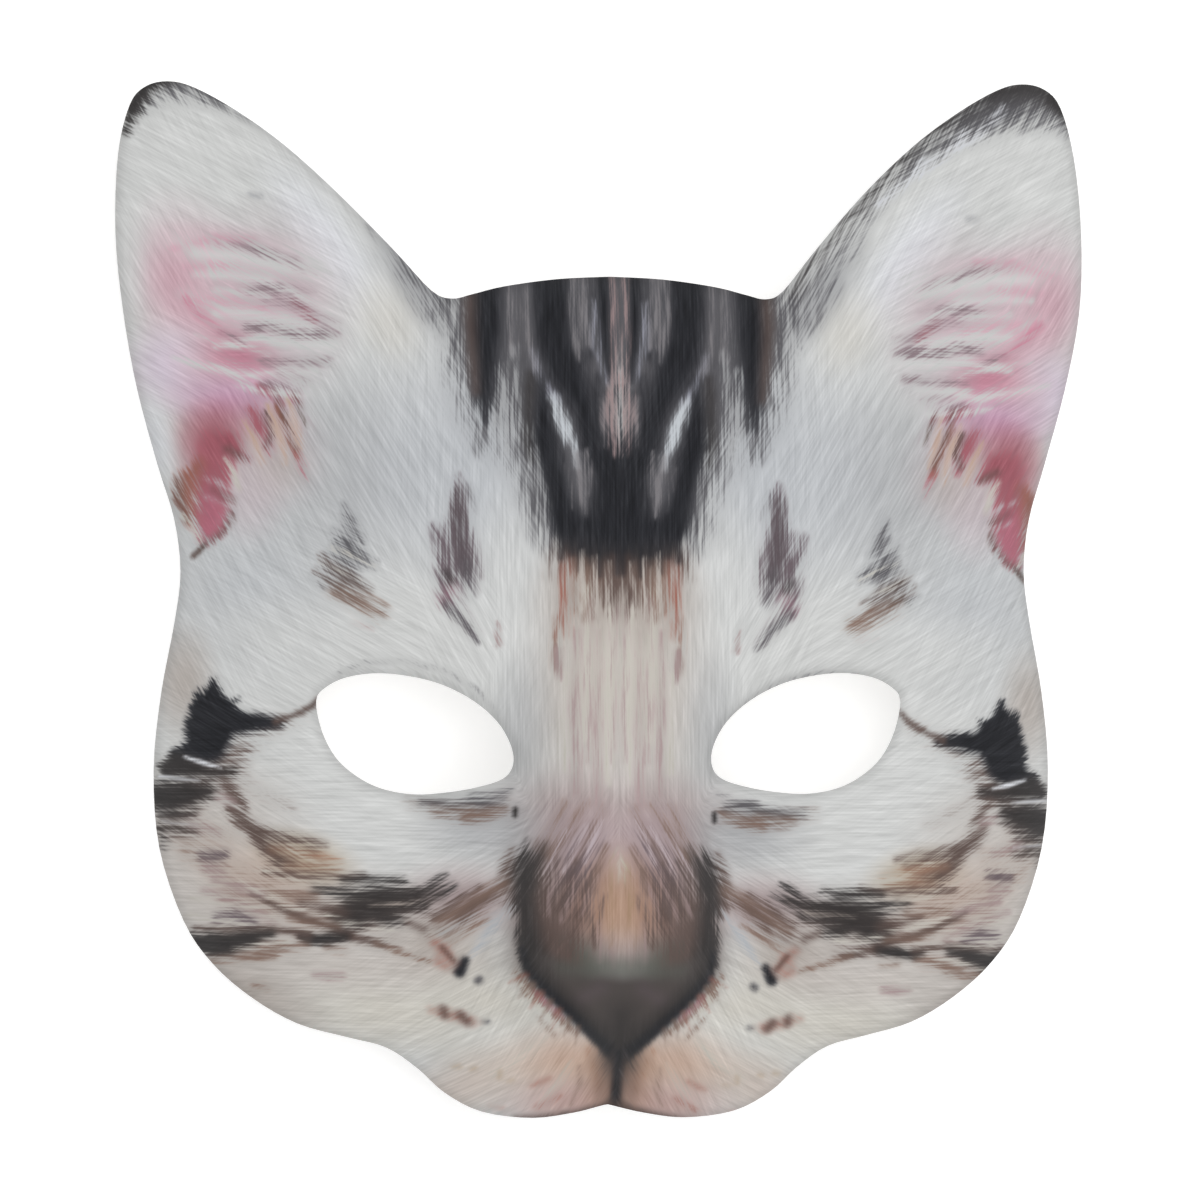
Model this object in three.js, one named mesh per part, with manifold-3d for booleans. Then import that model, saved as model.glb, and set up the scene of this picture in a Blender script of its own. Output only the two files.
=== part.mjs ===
// Cat half mask: a printed cloth face bonded to a foam sheet, die-cut to an outline and pressed in a mould.
// Millimetres. The mask lies face up on its rim.
// +X is to the right of the face, +Y towards the ears and +Z out of the face.
import * as THREE from "three";
import { mergeVertices } from "three/addons/utils/BufferGeometryUtils.js";
import Module from "manifold-3d";

// Layers of the sheet, counted inwards from the printed face.
const clothThickness = 1.0;
const bondGap = 0.3;
const foamThickness = 2.0;

// Die line of the right half, from the middle of the brow round the ear and cheek to the middle of the lip.
const halfOutline = [
  { at: "brow", x: 0, y: 61.2 },
  { at: "brow", x: 10, y: 60.7 },
  { at: "brow", x: 20, y: 59.3 },
  { at: "brow", x: 26, y: 57.8 },
  { at: "ear notch", x: 29.8, y: 57.0 },
  { at: "ear notch", x: 33.4, y: 58.6 },
  { at: "inner ear edge", x: 40, y: 66.3 },
  { at: "inner ear edge", x: 50, y: 77.2 },
  { at: "inner ear edge", x: 60, y: 86.6 },
  { at: "inner ear edge", x: 69, y: 93.3 },
  { at: "ear tip", x: 77, y: 97.9 },
  { at: "ear tip", x: 82, y: 99.2 },
  { at: "ear tip", x: 86.4, y: 98.2 },
  { at: "ear tip", x: 89.4, y: 94.6 },
  { at: "outer ear edge", x: 91.6, y: 85 },
  { at: "outer ear edge", x: 92.5, y: 70 },
  { at: "outer ear edge", x: 91.7, y: 55 },
  { at: "outer ear edge", x: 89.2, y: 40.5 },
  { at: "outer ear edge", x: 85.3, y: 26 },
  { at: "temple", x: 82.1, y: 15.5 },
  { at: "temple", x: 80.9, y: 5.5 },
  { at: "temple", x: 82, y: -4 },
  { at: "cheek", x: 84.6, y: -18 },
  { at: "cheek", x: 86, y: -32.5 },
  { at: "cheek", x: 84.9, y: -47.5 },
  { at: "cheek", x: 80.3, y: -61.3 },
  { at: "jaw", x: 74.7, y: -69.5 },
  { at: "jaw", x: 67.2, y: -75.9 },
  { at: "jaw", x: 58.7, y: -80.6 },
  { at: "jaw", x: 49.5, y: -83 },
  { at: "lip notch", x: 42, y: -84.9 },
  { at: "muzzle", x: 36, y: -88.9 },
  { at: "muzzle", x: 31, y: -93.4 },
  { at: "muzzle", x: 24, y: -97 },
  { at: "muzzle", x: 14.3, y: -98.2 },
  { at: "muzzle", x: 6, y: -97.1 },
  { at: "lip middle", x: 0, y: -95.8 },
];
// Both ears are cut a little towards -X of the face's middle, growing from the ear's foot to the ear's body.
const earDrift = 1.2;
const earDriftFrom = 48;
const earDriftTo = 84;

// Die line of the right eye hole, from its outer corner over the top.
const eyeHole = [
  { at: "outer corner", x: 55.4, y: -19 },
  { at: "upper lid", x: 53.6, y: -16.5 },
  { at: "upper lid", x: 49.7, y: -14.6 },
  { at: "upper lid", x: 43.8, y: -13.8 },
  { at: "upper lid", x: 37.2, y: -14.5 },
  { at: "upper lid", x: 31.5, y: -16.1 },
  { at: "upper lid", x: 26, y: -19 },
  { at: "upper lid", x: 21.6, y: -22.9 },
  { at: "inner corner", x: 19.1, y: -27.3 },
  { at: "inner corner", x: 18.7, y: -31 },
  { at: "inner corner", x: 20.6, y: -33.6 },
  { at: "lower lid", x: 25.4, y: -35.2 },
  { at: "lower lid", x: 31, y: -36.2 },
  { at: "lower lid", x: 37.1, y: -36.6 },
  { at: "lower lid", x: 43, y: -35.6 },
  { at: "lower lid", x: 47.6, y: -33.4 },
  { at: "lower lid", x: 51.6, y: -29.9 },
  { at: "lower lid", x: 54.3, y: -24.8 },
];

// Mould: the sheet wraps round the face like a barrel and falls away above and below the eyes.
const eyeLevel = -20;
const middleHeight = 34.6;
const wrapRadius = 130;
const browFall = 0.00172;
const jawFall = 0.0025;
const earFlare = { from: 10, to: 86, share: 0.76 };

// Sections across the nose, from the forehead down: height above the sheet and half the width at its foot.
const noseSections = [
  { y: 24, height: 0, halfWidth: 15 },
  { y: 0, height: 2.2, halfWidth: 16 },
  { y: -20, height: 6.5, halfWidth: 18 },
  { y: -42, height: 13, halfWidth: 22 },
  { y: -56, height: 17.5, halfWidth: 25 },
  { y: -66, height: 18.5, halfWidth: 26 },
  { y: -75, height: 14, halfWidth: 24 },
  { y: -84, height: 6.5, halfWidth: 19 },
  { y: -93, height: 1.5, halfWidth: 14 },
  { y: -104, height: 0, halfWidth: 12 },
];
const noseFlat = 0.18;

// Rounded swellings and hollows on each half: a bell of this height about its centre, turned by its lean.
const reliefs = [
  { at: "whisker pad", x: 18, y: -84, acrossX: 21, acrossY: 18, lean: 0, height: 9 },
  { at: "cheek", x: 60, y: -54, acrossX: 30, acrossY: 24, lean: -20, height: 3 },
  { at: "eye socket", x: 38, y: -25, acrossX: 30, acrossY: 20, lean: 14, height: -3.2 },
  { at: "brow ridge", x: 38, y: 2, acrossX: 32, acrossY: 13, lean: 10, height: 1.6 },
  { at: "ear hollow", x: 74, y: 62, acrossX: 19, acrossY: 36, lean: -20, height: -4.5 },
];
const lipGroove = { halfWidth: 6.5, depth: 3.6, from: -80, to: -92 };

// The cut edges turn back where the hot sheet is clamped in the mould.
const rimRoll = { depth: 2.4, width: 8 };
const lidRoll = { depth: 0.9, width: 4 };

// Columns and rows of the sheet's grid: fine over the nose and muzzle, coarse elsewhere.
const columns = [
  { to: 27, steps: 6 },
  { to: 96, steps: 11 },
];
const rows = [
  { to: -44, steps: 13 },
  { to: 102, steps: 23 },
];
const sheetBottom = -101;
const dieSegments = 2;
const weldDistance = 0.35;

const wasm = await Module();
wasm.setup();

function smoothStep(from, to, value) {
  const t = Math.min(1, Math.max(0, (value - from) / (to - from)));
  return t * t * (3 - 2 * t);
}

// A bell that is 1 at the middle and 0, with no slope, at distance 1.
function bell(distance) {
  return distance < 1 ? (1 - distance * distance) ** 2 : 0;
}

// Smooth curve through the values of one column, level at the first and last sections.
function through(sections, column, y) {
  if (y >= sections[0].y) return sections[0][column];
  const last = sections.length - 1;
  if (y <= sections[last].y) return sections[last][column];
  const i = sections.findIndex((section) => section.y < y);
  const slopeAt = (k) => {
    if (k === 0 || k === last) return 0;
    const above = sections[k - 1];
    const below = sections[k + 1];
    return (above[column] - below[column]) / (above.y - below.y);
  };
  const span = sections[i].y - sections[i - 1].y;
  const t = (y - sections[i - 1].y) / span;
  const start = sections[i - 1][column];
  const end = sections[i][column];
  return (
    start * (1 + 2 * t) * (1 - t) ** 2 +
    slopeAt(i - 1) * span * t * (1 - t) ** 2 +
    end * t * t * (3 - 2 * t) +
    slopeAt(i) * span * t * t * (t - 1)
  );
}

// The outline of one side as points: side is 1 on the right and -1 on the left.
function sideOutline(side) {
  return halfOutline.map(({ x, y }) => {
    const drift = earDrift * smoothStep(earDriftFrom, earDriftTo, y) * (x > 30 ? 1 : 0);
    return new THREE.Vector2(side * x - drift, y);
  });
}

// The die's closed lines as points: splines through the stations, with a corner in the middle of the lip.
function rimPoints() {
  const right = new THREE.SplineCurve(sideOutline(1));
  const left = new THREE.SplineCurve(sideOutline(-1).reverse());
  const count = dieSegments * (halfOutline.length - 1);
  return [...right.getPoints(count).slice(1), ...left.getPoints(count).slice(1)];
}

function lidPoints(side) {
  const stations = eyeHole.map(({ x, y }) => new THREE.Vector3(side * x, y, 0));
  if (side < 0) stations.reverse();
  const curve = new THREE.CatmullRomCurve3(stations, true);
  const points = curve.getPoints(dieSegments * stations.length).slice(1);
  return points.map(({ x, y }) => new THREE.Vector2(x, y));
}

const rimLine = rimPoints();
const lidLines = [lidPoints(1), lidPoints(-1)];
const die = new THREE.Shape(rimLine);
die.holes = lidLines.map((line) => new THREE.Path(line));

// Distance from a point to a closed line, less than zero outside it.
function depthInside(line, x, y) {
  let nearest = Infinity;
  let inside = false;
  for (let i = 0, j = line.length - 1; i < line.length; j = i++) {
    const a = line[j];
    const b = line[i];
    const dx = b.x - a.x;
    const dy = b.y - a.y;
    const along = ((x - a.x) * dx + (y - a.y) * dy) / (dx * dx + dy * dy || 1);
    const t = Math.min(1, Math.max(0, along));
    nearest = Math.min(nearest, Math.hypot(x - a.x - t * dx, y - a.y - t * dy));
    if (a.y > y !== b.y > y && x < a.x + (dx * (y - a.y)) / dy) inside = !inside;
  }
  return inside ? nearest : -nearest;
}

function rollBack(roll, depth) {
  return depth < roll.width ? roll.depth * (1 - depth / roll.width) ** 2 : 0;
}

function noseRise(x, y) {
  const reach = Math.abs(x) / through(noseSections, "halfWidth", y);
  const flank = Math.max(0, (reach - noseFlat) / (1 - noseFlat));
  return through(noseSections, "height", y) * bell(flank);
}

function reliefRise(x, y) {
  let rise = 0;
  for (const relief of reliefs) {
    const lean = THREE.MathUtils.degToRad(relief.lean);
    const dx = Math.abs(x) - relief.x;
    const dy = y - relief.y;
    const across = (dx * Math.cos(lean) + dy * Math.sin(lean)) / relief.acrossX;
    const along = (dy * Math.cos(lean) - dx * Math.sin(lean)) / relief.acrossY;
    rise += relief.height * bell(Math.hypot(across, along));
  }
  const groove = bell(Math.abs(x) / lipGroove.halfWidth);
  return rise - lipGroove.depth * groove * smoothStep(lipGroove.from, lipGroove.to, y);
}

// Height of the printed face over the point (x, y) of the die line's plane.
function faceHeight(x, y) {
  const barrel = wrapRadius - Math.sqrt(wrapRadius ** 2 - x * x);
  const flare = 1 - earFlare.share * smoothStep(earFlare.from, earFlare.to, y);
  const fall = (y > eyeLevel ? browFall : jawFall) * (y - eyeLevel) ** 2;
  const rim = rollBack(rimRoll, depthInside(rimLine, x, y));
  const lids = lidLines.map((line) => rollBack(lidRoll, -depthInside(line, x, y)));
  const edges = rim + Math.max(...lids);
  return middleHeight - barrel * flare - fall + noseRise(x, y) + reliefRise(x, y) - edges;
}

function faceNormal(x, y) {
  const step = 0.3;
  const slopeX = (faceHeight(x + step, y) - faceHeight(x - step, y)) / (2 * step);
  const slopeY = (faceHeight(x, y + step) - faceHeight(x, y - step)) / (2 * step);
  return new THREE.Vector3(-slopeX, -slopeY, 1).normalize();
}

// A three.js geometry as a manifold solid, each triangle a face of its own so that the grid is kept.
function solidFrom(geometry) {
  geometry.deleteAttribute("normal");
  geometry.deleteAttribute("uv");
  const merged = mergeVertices(geometry, 1e-4);
  const triVerts = new Uint32Array(merged.index.array);
  const faceID = Uint32Array.from({ length: triVerts.length / 3 }, (_, i) => i);
  const vertProperties = new Float32Array(merged.attributes.position.array);
  return new wasm.Manifold(new wasm.Mesh({ numProp: 3, vertProperties, triVerts, faceID }));
}

// Place of the grid line with this number, counted from the first band's start.
function bandPlace(start, bands, line) {
  let from = start;
  let left = line;
  for (const band of bands) {
    if (left <= band.steps) return from + ((band.to - from) * left) / band.steps;
    left -= band.steps;
    from = band.to;
  }
  return from;
}

function stepsIn(bands) {
  return bands.reduce((sum, band) => sum + band.steps, 0);
}

// A flat sheet one millimetre thick under z = 0, with its grid lines in place.
function flatSheet() {
  const across = 2 * stepsIn(columns);
  const along = stepsIn(rows);
  const sheet = new THREE.BoxGeometry(across, along, 1, across, along, 1).translate(0, 0, -0.5);
  const place = sheet.attributes.position;
  for (let i = 0; i < place.count; i++) {
    const column = Math.round(place.getX(i));
    const row = Math.round(place.getY(i) + along / 2);
    const x = Math.sign(column) * bandPlace(0, columns, Math.abs(column));
    place.setXY(i, x, bandPlace(sheetBottom, rows, row));
  }
  return sheet;
}

function dieBlock() {
  return new THREE.ExtrudeGeometry(die, { depth: 3, bevelEnabled: false }).translate(0, 0, -2);
}

// Upper face of the cut sheet. Points that the die left closer than the weld distance become one.
function cutFace() {
  const cut = solidFrom(flatSheet()).intersect(solidFrom(dieBlock())).getMesh();
  const points = [];
  const pointAt = (vertex) => {
    const [x, y] = cut.vertProperties.slice(3 * vertex, 3 * vertex + 2);
    const found = points.findIndex((other) => Math.hypot(other.x - x, other.y - y) < weldDistance);
    return found < 0 ? points.push(new THREE.Vector2(x, y)) - 1 : found;
  };
  const triangles = [];
  for (let i = 0; i < cut.triVerts.length; i += 3) {
    const corners = [...cut.triVerts.slice(i, i + 3)];
    if (corners.some((vertex) => cut.vertProperties[3 * vertex + 2] < -0.01)) continue;
    const [a, b, c] = corners.map(pointAt);
    if (a !== b && b !== c && c !== a) triangles.push([a, b, c]);
  }
  return { points, triangles };
}

// One layer of the cut sheet pressed into the mould, between two depths behind the printed face.
function pressedLayer(face, nearDepth, farDepth) {
  const atDepth = (depth) =>
    face.points.map(({ x, y }) => {
      const front = new THREE.Vector3(x, y, faceHeight(x, y));
      return front.addScaledVector(faceNormal(x, y), -depth);
    });
  const back = face.points.length;
  const index = [];
  const edges = new Set(face.triangles.flatMap(([a, b, c]) => [`${a} ${b}`, `${b} ${c}`, `${c} ${a}`]));
  for (const [a, b, c] of face.triangles) index.push(a, b, c, back + a, back + c, back + b);
  for (const edge of edges) {
    const [a, b] = edge.split(" ").map(Number);
    if (!edges.has(`${b} ${a}`)) index.push(a, back + a, back + b, a, back + b, b);
  }
  const layer = new THREE.BufferGeometry();
  layer.setFromPoints([...atDepth(nearDepth), ...atDepth(farDepth)]).setIndex(index);
  layer.computeVertexNormals();
  return layer;
}

function printedCover(face) {
  const cloth = new THREE.MeshStandardMaterial({ color: 0xd2cfcb, roughness: 0.85, metalness: 0 });
  const cover = new THREE.Mesh(pressedLayer(face, 0, clothThickness), cloth);
  cover.name = "printed_cover";
  return cover;
}

function foamShell(face) {
  const foam = new THREE.MeshStandardMaterial({ color: 0xf0efec, roughness: 0.9, metalness: 0 });
  const near = clothThickness + bondGap;
  const shell = new THREE.Mesh(pressedLayer(face, near, near + foamThickness), foam);
  shell.name = "foam_shell";
  return shell;
}

// The origin is on the surface that the rim rests on, under the middle of the mask.
const mask = new THREE.Group();
const face = cutFace();
mask.add(printedCover(face), foamShell(face));
const box = new THREE.Box3().setFromObject(mask);
const middle = box.getCenter(new THREE.Vector3());
mask.position.set(-middle.x, -middle.y, -box.min.z);

export default mask;
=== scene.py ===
import math

import bpy
import numpy as np
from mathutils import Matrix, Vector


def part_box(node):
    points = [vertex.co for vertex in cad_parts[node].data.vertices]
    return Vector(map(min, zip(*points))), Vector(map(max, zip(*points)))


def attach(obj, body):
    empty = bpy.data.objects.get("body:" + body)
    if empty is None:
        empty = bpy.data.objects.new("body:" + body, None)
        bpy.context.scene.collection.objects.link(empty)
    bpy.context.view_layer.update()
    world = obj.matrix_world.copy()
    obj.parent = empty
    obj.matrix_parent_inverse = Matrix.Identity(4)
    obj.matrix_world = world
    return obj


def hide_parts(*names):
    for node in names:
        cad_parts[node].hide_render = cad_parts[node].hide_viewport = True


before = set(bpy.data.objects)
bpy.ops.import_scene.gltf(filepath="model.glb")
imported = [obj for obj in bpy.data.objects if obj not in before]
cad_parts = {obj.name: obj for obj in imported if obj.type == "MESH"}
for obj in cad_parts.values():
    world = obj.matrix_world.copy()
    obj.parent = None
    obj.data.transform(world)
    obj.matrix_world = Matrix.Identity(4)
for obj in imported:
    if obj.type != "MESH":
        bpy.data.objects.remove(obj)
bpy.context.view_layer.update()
mm = 0.001

# Die line of the mask, in millimetres on the flat sheet: x to the right of the face, y towards the ears.
die = {
    "outline": [  # place, x, y: right half, from the middle of the brow to the middle of the lip
        ("brow", 0, 61.2), ("brow", 10, 60.7), ("brow", 20, 59.3), ("brow", 26, 57.8),
        ("ear notch", 29.8, 57.0), ("ear notch", 33.4, 58.6),
        ("inner ear edge", 40, 66.3), ("inner ear edge", 50, 77.2),
        ("inner ear edge", 60, 86.6), ("inner ear edge", 69, 93.3),
        ("ear tip", 77, 97.9), ("ear tip", 82, 99.2), ("ear tip", 86.4, 98.2), ("ear tip", 89.4, 94.6),
        ("outer ear edge", 91.6, 85), ("outer ear edge", 92.5, 70), ("outer ear edge", 91.7, 55),
        ("outer ear edge", 89.2, 40.5), ("outer ear edge", 85.3, 26),
        ("temple", 82.1, 15.5), ("temple", 80.9, 5.5), ("temple", 82, -4),
        ("cheek", 84.6, -18), ("cheek", 86, -32.5), ("cheek", 84.9, -47.5), ("cheek", 80.3, -61.3),
        ("jaw", 74.7, -69.5), ("jaw", 67.2, -75.9), ("jaw", 58.7, -80.6), ("jaw", 49.5, -83),
        ("lip notch", 42, -84.9), ("muzzle", 36, -88.9), ("muzzle", 31, -93.4), ("muzzle", 24, -97),
        ("muzzle", 14.3, -98.2), ("muzzle", 6, -97.1), ("lip middle", 0, -95.8),
    ],
    "eyeHole": [  # x, y: right eye, from the outer corner over the top
        (55.4, -19), (53.6, -16.5), (49.7, -14.6), (43.8, -13.8), (37.2, -14.5), (31.5, -16.1),
        (26, -19), (21.6, -22.9), (19.1, -27.3), (18.7, -31), (20.6, -33.6), (25.4, -35.2),
        (31, -36.2), (37.1, -36.6), (43, -35.6), (47.6, -33.4), (51.6, -29.9), (54.3, -24.8),
    ],
    "earDrift": 1.2,  # both ears are cut a little towards -x
    "earDriftFrom": 48,
    "earDriftTo": 84,
    "earInside": 30,
    "segments": 4,  # straight stretches between two points of the line
    "relaxWidth": 3,  # steps of the grid beside the cut that are evened out
    "relaxFactor": 0.5,
    "relaxRounds": 5,
}

# Mould that the sheet is pressed in.
mould = {
    "eyeLevel": -20,
    "middleHeight": 34.6,
    "wrapRadius": 130,
    "browFall": 0.00172,
    "jawFall": 0.0025,
    "earFlareFrom": 10,
    "earFlareTo": 86,
    "earFlareShare": 0.76,
    "noseSections": [  # y, height above the sheet, half the width at the foot
        (-104, 0, 12), (-93, 1.5, 14), (-84, 6.5, 19), (-75, 14, 24), (-66, 18.5, 26),
        (-56, 17.5, 25), (-42, 13, 22), (-20, 6.5, 18), (0, 2.2, 16), (24, 0, 15),
    ],
    "noseFlat": 0.18,
    "noseTop": (-75, -50),  # y between which the face is highest
    "reliefs": [  # place, x, y, across x, across y, lean, height
        ("whisker pad", 18, -84, 21, 18, 0, 9),
        ("cheek", 60, -54, 30, 24, -20, 3),
        ("eye socket", 38, -25, 30, 20, 14, -3.2),
        ("brow ridge", 38, 2, 32, 13, 10, 1.6),
        ("ear hollow", 74, 62, 19, 36, -20, -4.5),
    ],
    "lipGroove": (6.5, 3.6, -80, -92),  # half width, depth, from, to
    "rimRoll": (2.4, 8),  # depth, width
    "lidRoll": (0.9, 4),
    "slopeStep": 0.3,
}


def smoothStep(low, high, value):
    t = np.clip((value - low) / (high - low), 0, 1)
    return t * t * (3 - 2 * t)


def bell(distance):
    return (1 - np.minimum(distance, 1) ** 2) ** 2


def splineThrough(points, closed):
    points = np.array(points, float)
    if closed:
        points = np.vstack([points[-1:], points, points[:2]])
    else:
        points = np.vstack([points[:1], points, points[-1:]])
    line = []
    for before, start, end, after in zip(points, points[1:], points[2:], points[3:]):
        leave = (end - before) / 2
        arrive = (after - start) / 2
        for t in np.arange(die["segments"]) / die["segments"]:
            cubic = (2 * start - 2 * end + leave + arrive) * t ** 3
            square = (3 * end - 3 * start - 2 * leave - arrive) * t ** 2
            line.append(cubic + square + leave * t + start)
    return np.array(line)


def rimSide(side):
    rows = []
    for _, x, y in die["outline"]:
        share = smoothStep(die["earDriftFrom"], die["earDriftTo"], y) * (x > die["earInside"])
        rows.append((side * x - die["earDrift"] * share, y))
    return rows


rimLine = np.vstack([splineThrough(rimSide(1), False), splineThrough(rimSide(-1)[::-1], False)])
lidLines = [splineThrough([(side * x, y) for x, y in die["eyeHole"]], True) for side in (1, -1)]
dieLines = [rimLine, *lidLines]


# Nearest point of a closed line, and the distance to it, less than zero outside the line.
def nearestOn(line, x, y):
    best = np.full(x.shape, np.inf)
    onLine = np.zeros((*x.shape, 2))
    inside = np.zeros(x.shape, bool)
    for (ax, ay), (bx, by) in zip(np.roll(line, 1, axis=0), line):
        dx, dy = bx - ax, by - ay
        along = np.clip(((x - ax) * dx + (y - ay) * dy) / (dx * dx + dy * dy + 1e-12), 0, 1)
        px, py = ax + along * dx, ay + along * dy
        distance = np.hypot(x - px, y - py)
        closer = distance < best
        best[closer] = distance[closer]
        onLine[closer, 0] = px[closer]
        onLine[closer, 1] = py[closer]
        if ay != by:
            inside ^= ((ay > y) != (by > y)) & (x < ax + dx * (y - ay) / dy)
    return onLine, np.where(inside, best, -best)


# Distance inside the die: less than zero beyond the rim and in the eye holes.
def dieDepth(x, y):
    depth = nearestOn(rimLine, x, y)[1]
    for line in lidLines:
        depth = np.minimum(depth, -nearestOn(line, x, y)[1])
    return depth


def noseColumn(column, y):
    rows = np.array(mould["noseSections"], float)
    stations, values = rows[:, 0], rows[:, column]
    slopes = np.zeros(len(rows))
    slopes[1:-1] = (values[2:] - values[:-2]) / (stations[2:] - stations[:-2])
    y = np.clip(y, stations[0], stations[-1])
    i = np.clip(np.searchsorted(stations, y, side="right") - 1, 0, len(rows) - 2)
    span = stations[i + 1] - stations[i]
    t = (y - stations[i]) / span
    start = values[i] * (1 + 2 * t) * (1 - t) ** 2 + slopes[i] * span * t * (1 - t) ** 2
    return start + values[i + 1] * t * t * (3 - 2 * t) + slopes[i + 1] * span * t * t * (t - 1)


def rollBack(roll, depth):
    rollDepth, width = roll
    return np.where(depth < width, rollDepth * (1 - depth / width) ** 2, 0)


# Height of the printed face over a point of the flat sheet.
def faceHeight(x, y):
    barrel = mould["wrapRadius"] - np.sqrt(mould["wrapRadius"] ** 2 - x * x)
    flare = 1 - mould["earFlareShare"] * smoothStep(mould["earFlareFrom"], mould["earFlareTo"], y)
    above = y - mould["eyeLevel"]
    fall = np.where(above > 0, mould["browFall"], mould["jawFall"]) * above ** 2
    flank = np.maximum(0, np.abs(x) / noseColumn(2, y) - mould["noseFlat"]) / (1 - mould["noseFlat"])
    height = mould["middleHeight"] - barrel * flare - fall + noseColumn(1, y) * bell(flank)
    for _, middleX, middleY, acrossX, acrossY, lean, rise in mould["reliefs"]:
        turn = math.radians(lean)
        dx, dy = np.abs(x) - middleX, y - middleY
        across = (dx * math.cos(turn) + dy * math.sin(turn)) / acrossX
        along = (dy * math.cos(turn) - dx * math.sin(turn)) / acrossY
        height = height + rise * bell(np.hypot(across, along))
    halfWidth, depth, start, end = mould["lipGroove"]
    height = height - depth * bell(np.abs(x) / halfWidth) * smoothStep(start, end, y)
    lids = [rollBack(mould["lidRoll"], -nearestOn(line, x, y)[1]) for line in lidLines]
    return height - rollBack(mould["rimRoll"], nearestOn(rimLine, x, y)[1]) - np.maximum(*lids)


# Places in the frame, in metres, of points of the flat sheet at a depth behind the printed face.
def pressed(x, y, depth):
    height = faceHeight(x, y)
    if depth == 0:
        return np.stack([x, y, height], -1) * mm + sheetShift
    step = mould["slopeStep"]
    slopeX = (faceHeight(x + step, y) - faceHeight(x - step, y)) / (2 * step)
    slopeY = (faceHeight(x, y + step) - faceHeight(x, y - step)) / (2 * step)
    normal = np.stack([-slopeX, -slopeY, np.ones_like(x)], -1)
    normal /= np.linalg.norm(normal, axis=-1, keepdims=True)
    return (np.stack([x, y, height], -1) - depth * normal) * mm + sheetShift


# The printed face's top and the middle of the die line fix the sheet in the frame.
coverLow, coverHigh = (np.array(corner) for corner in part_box("printed_cover"))
noseLine = np.linspace(*mould["noseTop"], 200)
dieMiddle = (rimLine.min(axis=0) + rimLine.max(axis=0)) / 2
sheetTop = faceHeight(np.zeros_like(noseLine), noseLine).max()
sheetShift = np.array([*((coverLow + coverHigh)[:2] / 2 - dieMiddle * mm), coverHigh[2] - sheetTop * mm])
print("mould ready, sheet shift", np.round(sheetShift / mm, 3))


def readPlaces(items, name="co"):
    places = np.empty(3 * len(items), np.float32)
    items.foreach_get(name, places)
    return places.reshape(-1, 3).astype(float)


def store(data, name, kind, values):
    field = {"INT": "value", "FLOAT": "value", "FLOAT_VECTOR": "vector", "FLOAT_COLOR": "color"}[kind]
    values = np.ravel(values).astype(np.int32 if kind == "INT" else np.float32)
    data.attributes.new(name, kind, "POINT").data.foreach_set(field, values)


# Die line that each point is on: 0 off the edge, 1 on the rim, 2 and 3 on the eye holes.
def lineNumbers(data):
    numbers = np.empty(len(data.vertices), np.int32)
    data.attributes["dieLine"].data.foreach_get("value", numbers)
    return numbers


def editSelection(piece, kind, chosen):
    data = piece.data
    for items in (data.vertices, data.edges, data.polygons):
        items.foreach_set("select", np.zeros(len(items), bool))
    items = {"VERT": data.vertices, "EDGE": data.edges, "FACE": data.polygons}[kind]
    items.foreach_set("select", np.asarray(chosen, bool))
    bpy.context.tool_settings.mesh_select_mode = [kind == name for name in ("VERT", "EDGE", "FACE")]
    bpy.ops.object.select_all(action="DESELECT")
    piece.select_set(True)
    bpy.context.view_layer.objects.active = piece
    bpy.ops.object.mode_set(mode="EDIT")


# A flat grid cut along the die line, with its edge points moved onto the line.
# The mesh is in millimetres until it is pressed.
def cutSheet(name, step):
    low, high = rimLine.min(axis=0), rimLine.max(axis=0)
    columns, rows = (int(round(size / step)) for size in high - low)
    bpy.ops.object.select_all(action="DESELECT")
    bpy.ops.mesh.primitive_grid_add(x_subdivisions=columns, y_subdivisions=rows, size=1)
    sheet = bpy.context.object
    sheet.name = sheet.data.name = name
    sheet.scale = (*(high - low), 1)
    sheet.location = (*((low + high) / 2), 0)
    bpy.ops.object.transform_apply(location=True, rotation=True, scale=True)
    centres = readPlaces(sheet.data.polygons, "center")
    editSelection(sheet, "FACE", dieDepth(centres[:, 0], centres[:, 1]) < 0)
    bpy.ops.mesh.delete(type="FACE")
    bpy.ops.mesh.select_mode(type="VERT")
    bpy.ops.mesh.select_non_manifold(extend=False, use_wire=False, use_multi_face=False,
                                     use_non_contiguous=False, use_verts=False)
    bpy.ops.object.mode_set(mode="OBJECT")
    onEdge = np.empty(len(sheet.data.vertices), bool)
    sheet.data.vertices.foreach_get("select", onEdge)
    places = readPlaces(sheet.data.vertices)
    x, y = places[onEdge, 0], places[onEdge, 1]
    found = [nearestOn(line, x, y) for line in dieLines]
    nearest = np.argmin([np.abs(distance) for _, distance in found], axis=0)
    places[onEdge, :2] = np.array([onLine for onLine, _ in found])[nearest, np.arange(len(x))]
    sheet.data.vertices.foreach_set("co", places.ravel())
    numbers = np.zeros(len(places))
    numbers[onEdge] = nearest + 1
    store(sheet.data, "dieLine", "INT", numbers)
    nearEdge = np.abs(dieDepth(places[:, 0], places[:, 1])) < die["relaxWidth"] * step
    editSelection(sheet, "VERT", nearEdge & ~onEdge)
    bpy.ops.mesh.vertices_smooth(factor=die["relaxFactor"], repeat=die["relaxRounds"])
    bpy.ops.object.mode_set(mode="OBJECT")
    return sheet


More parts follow.
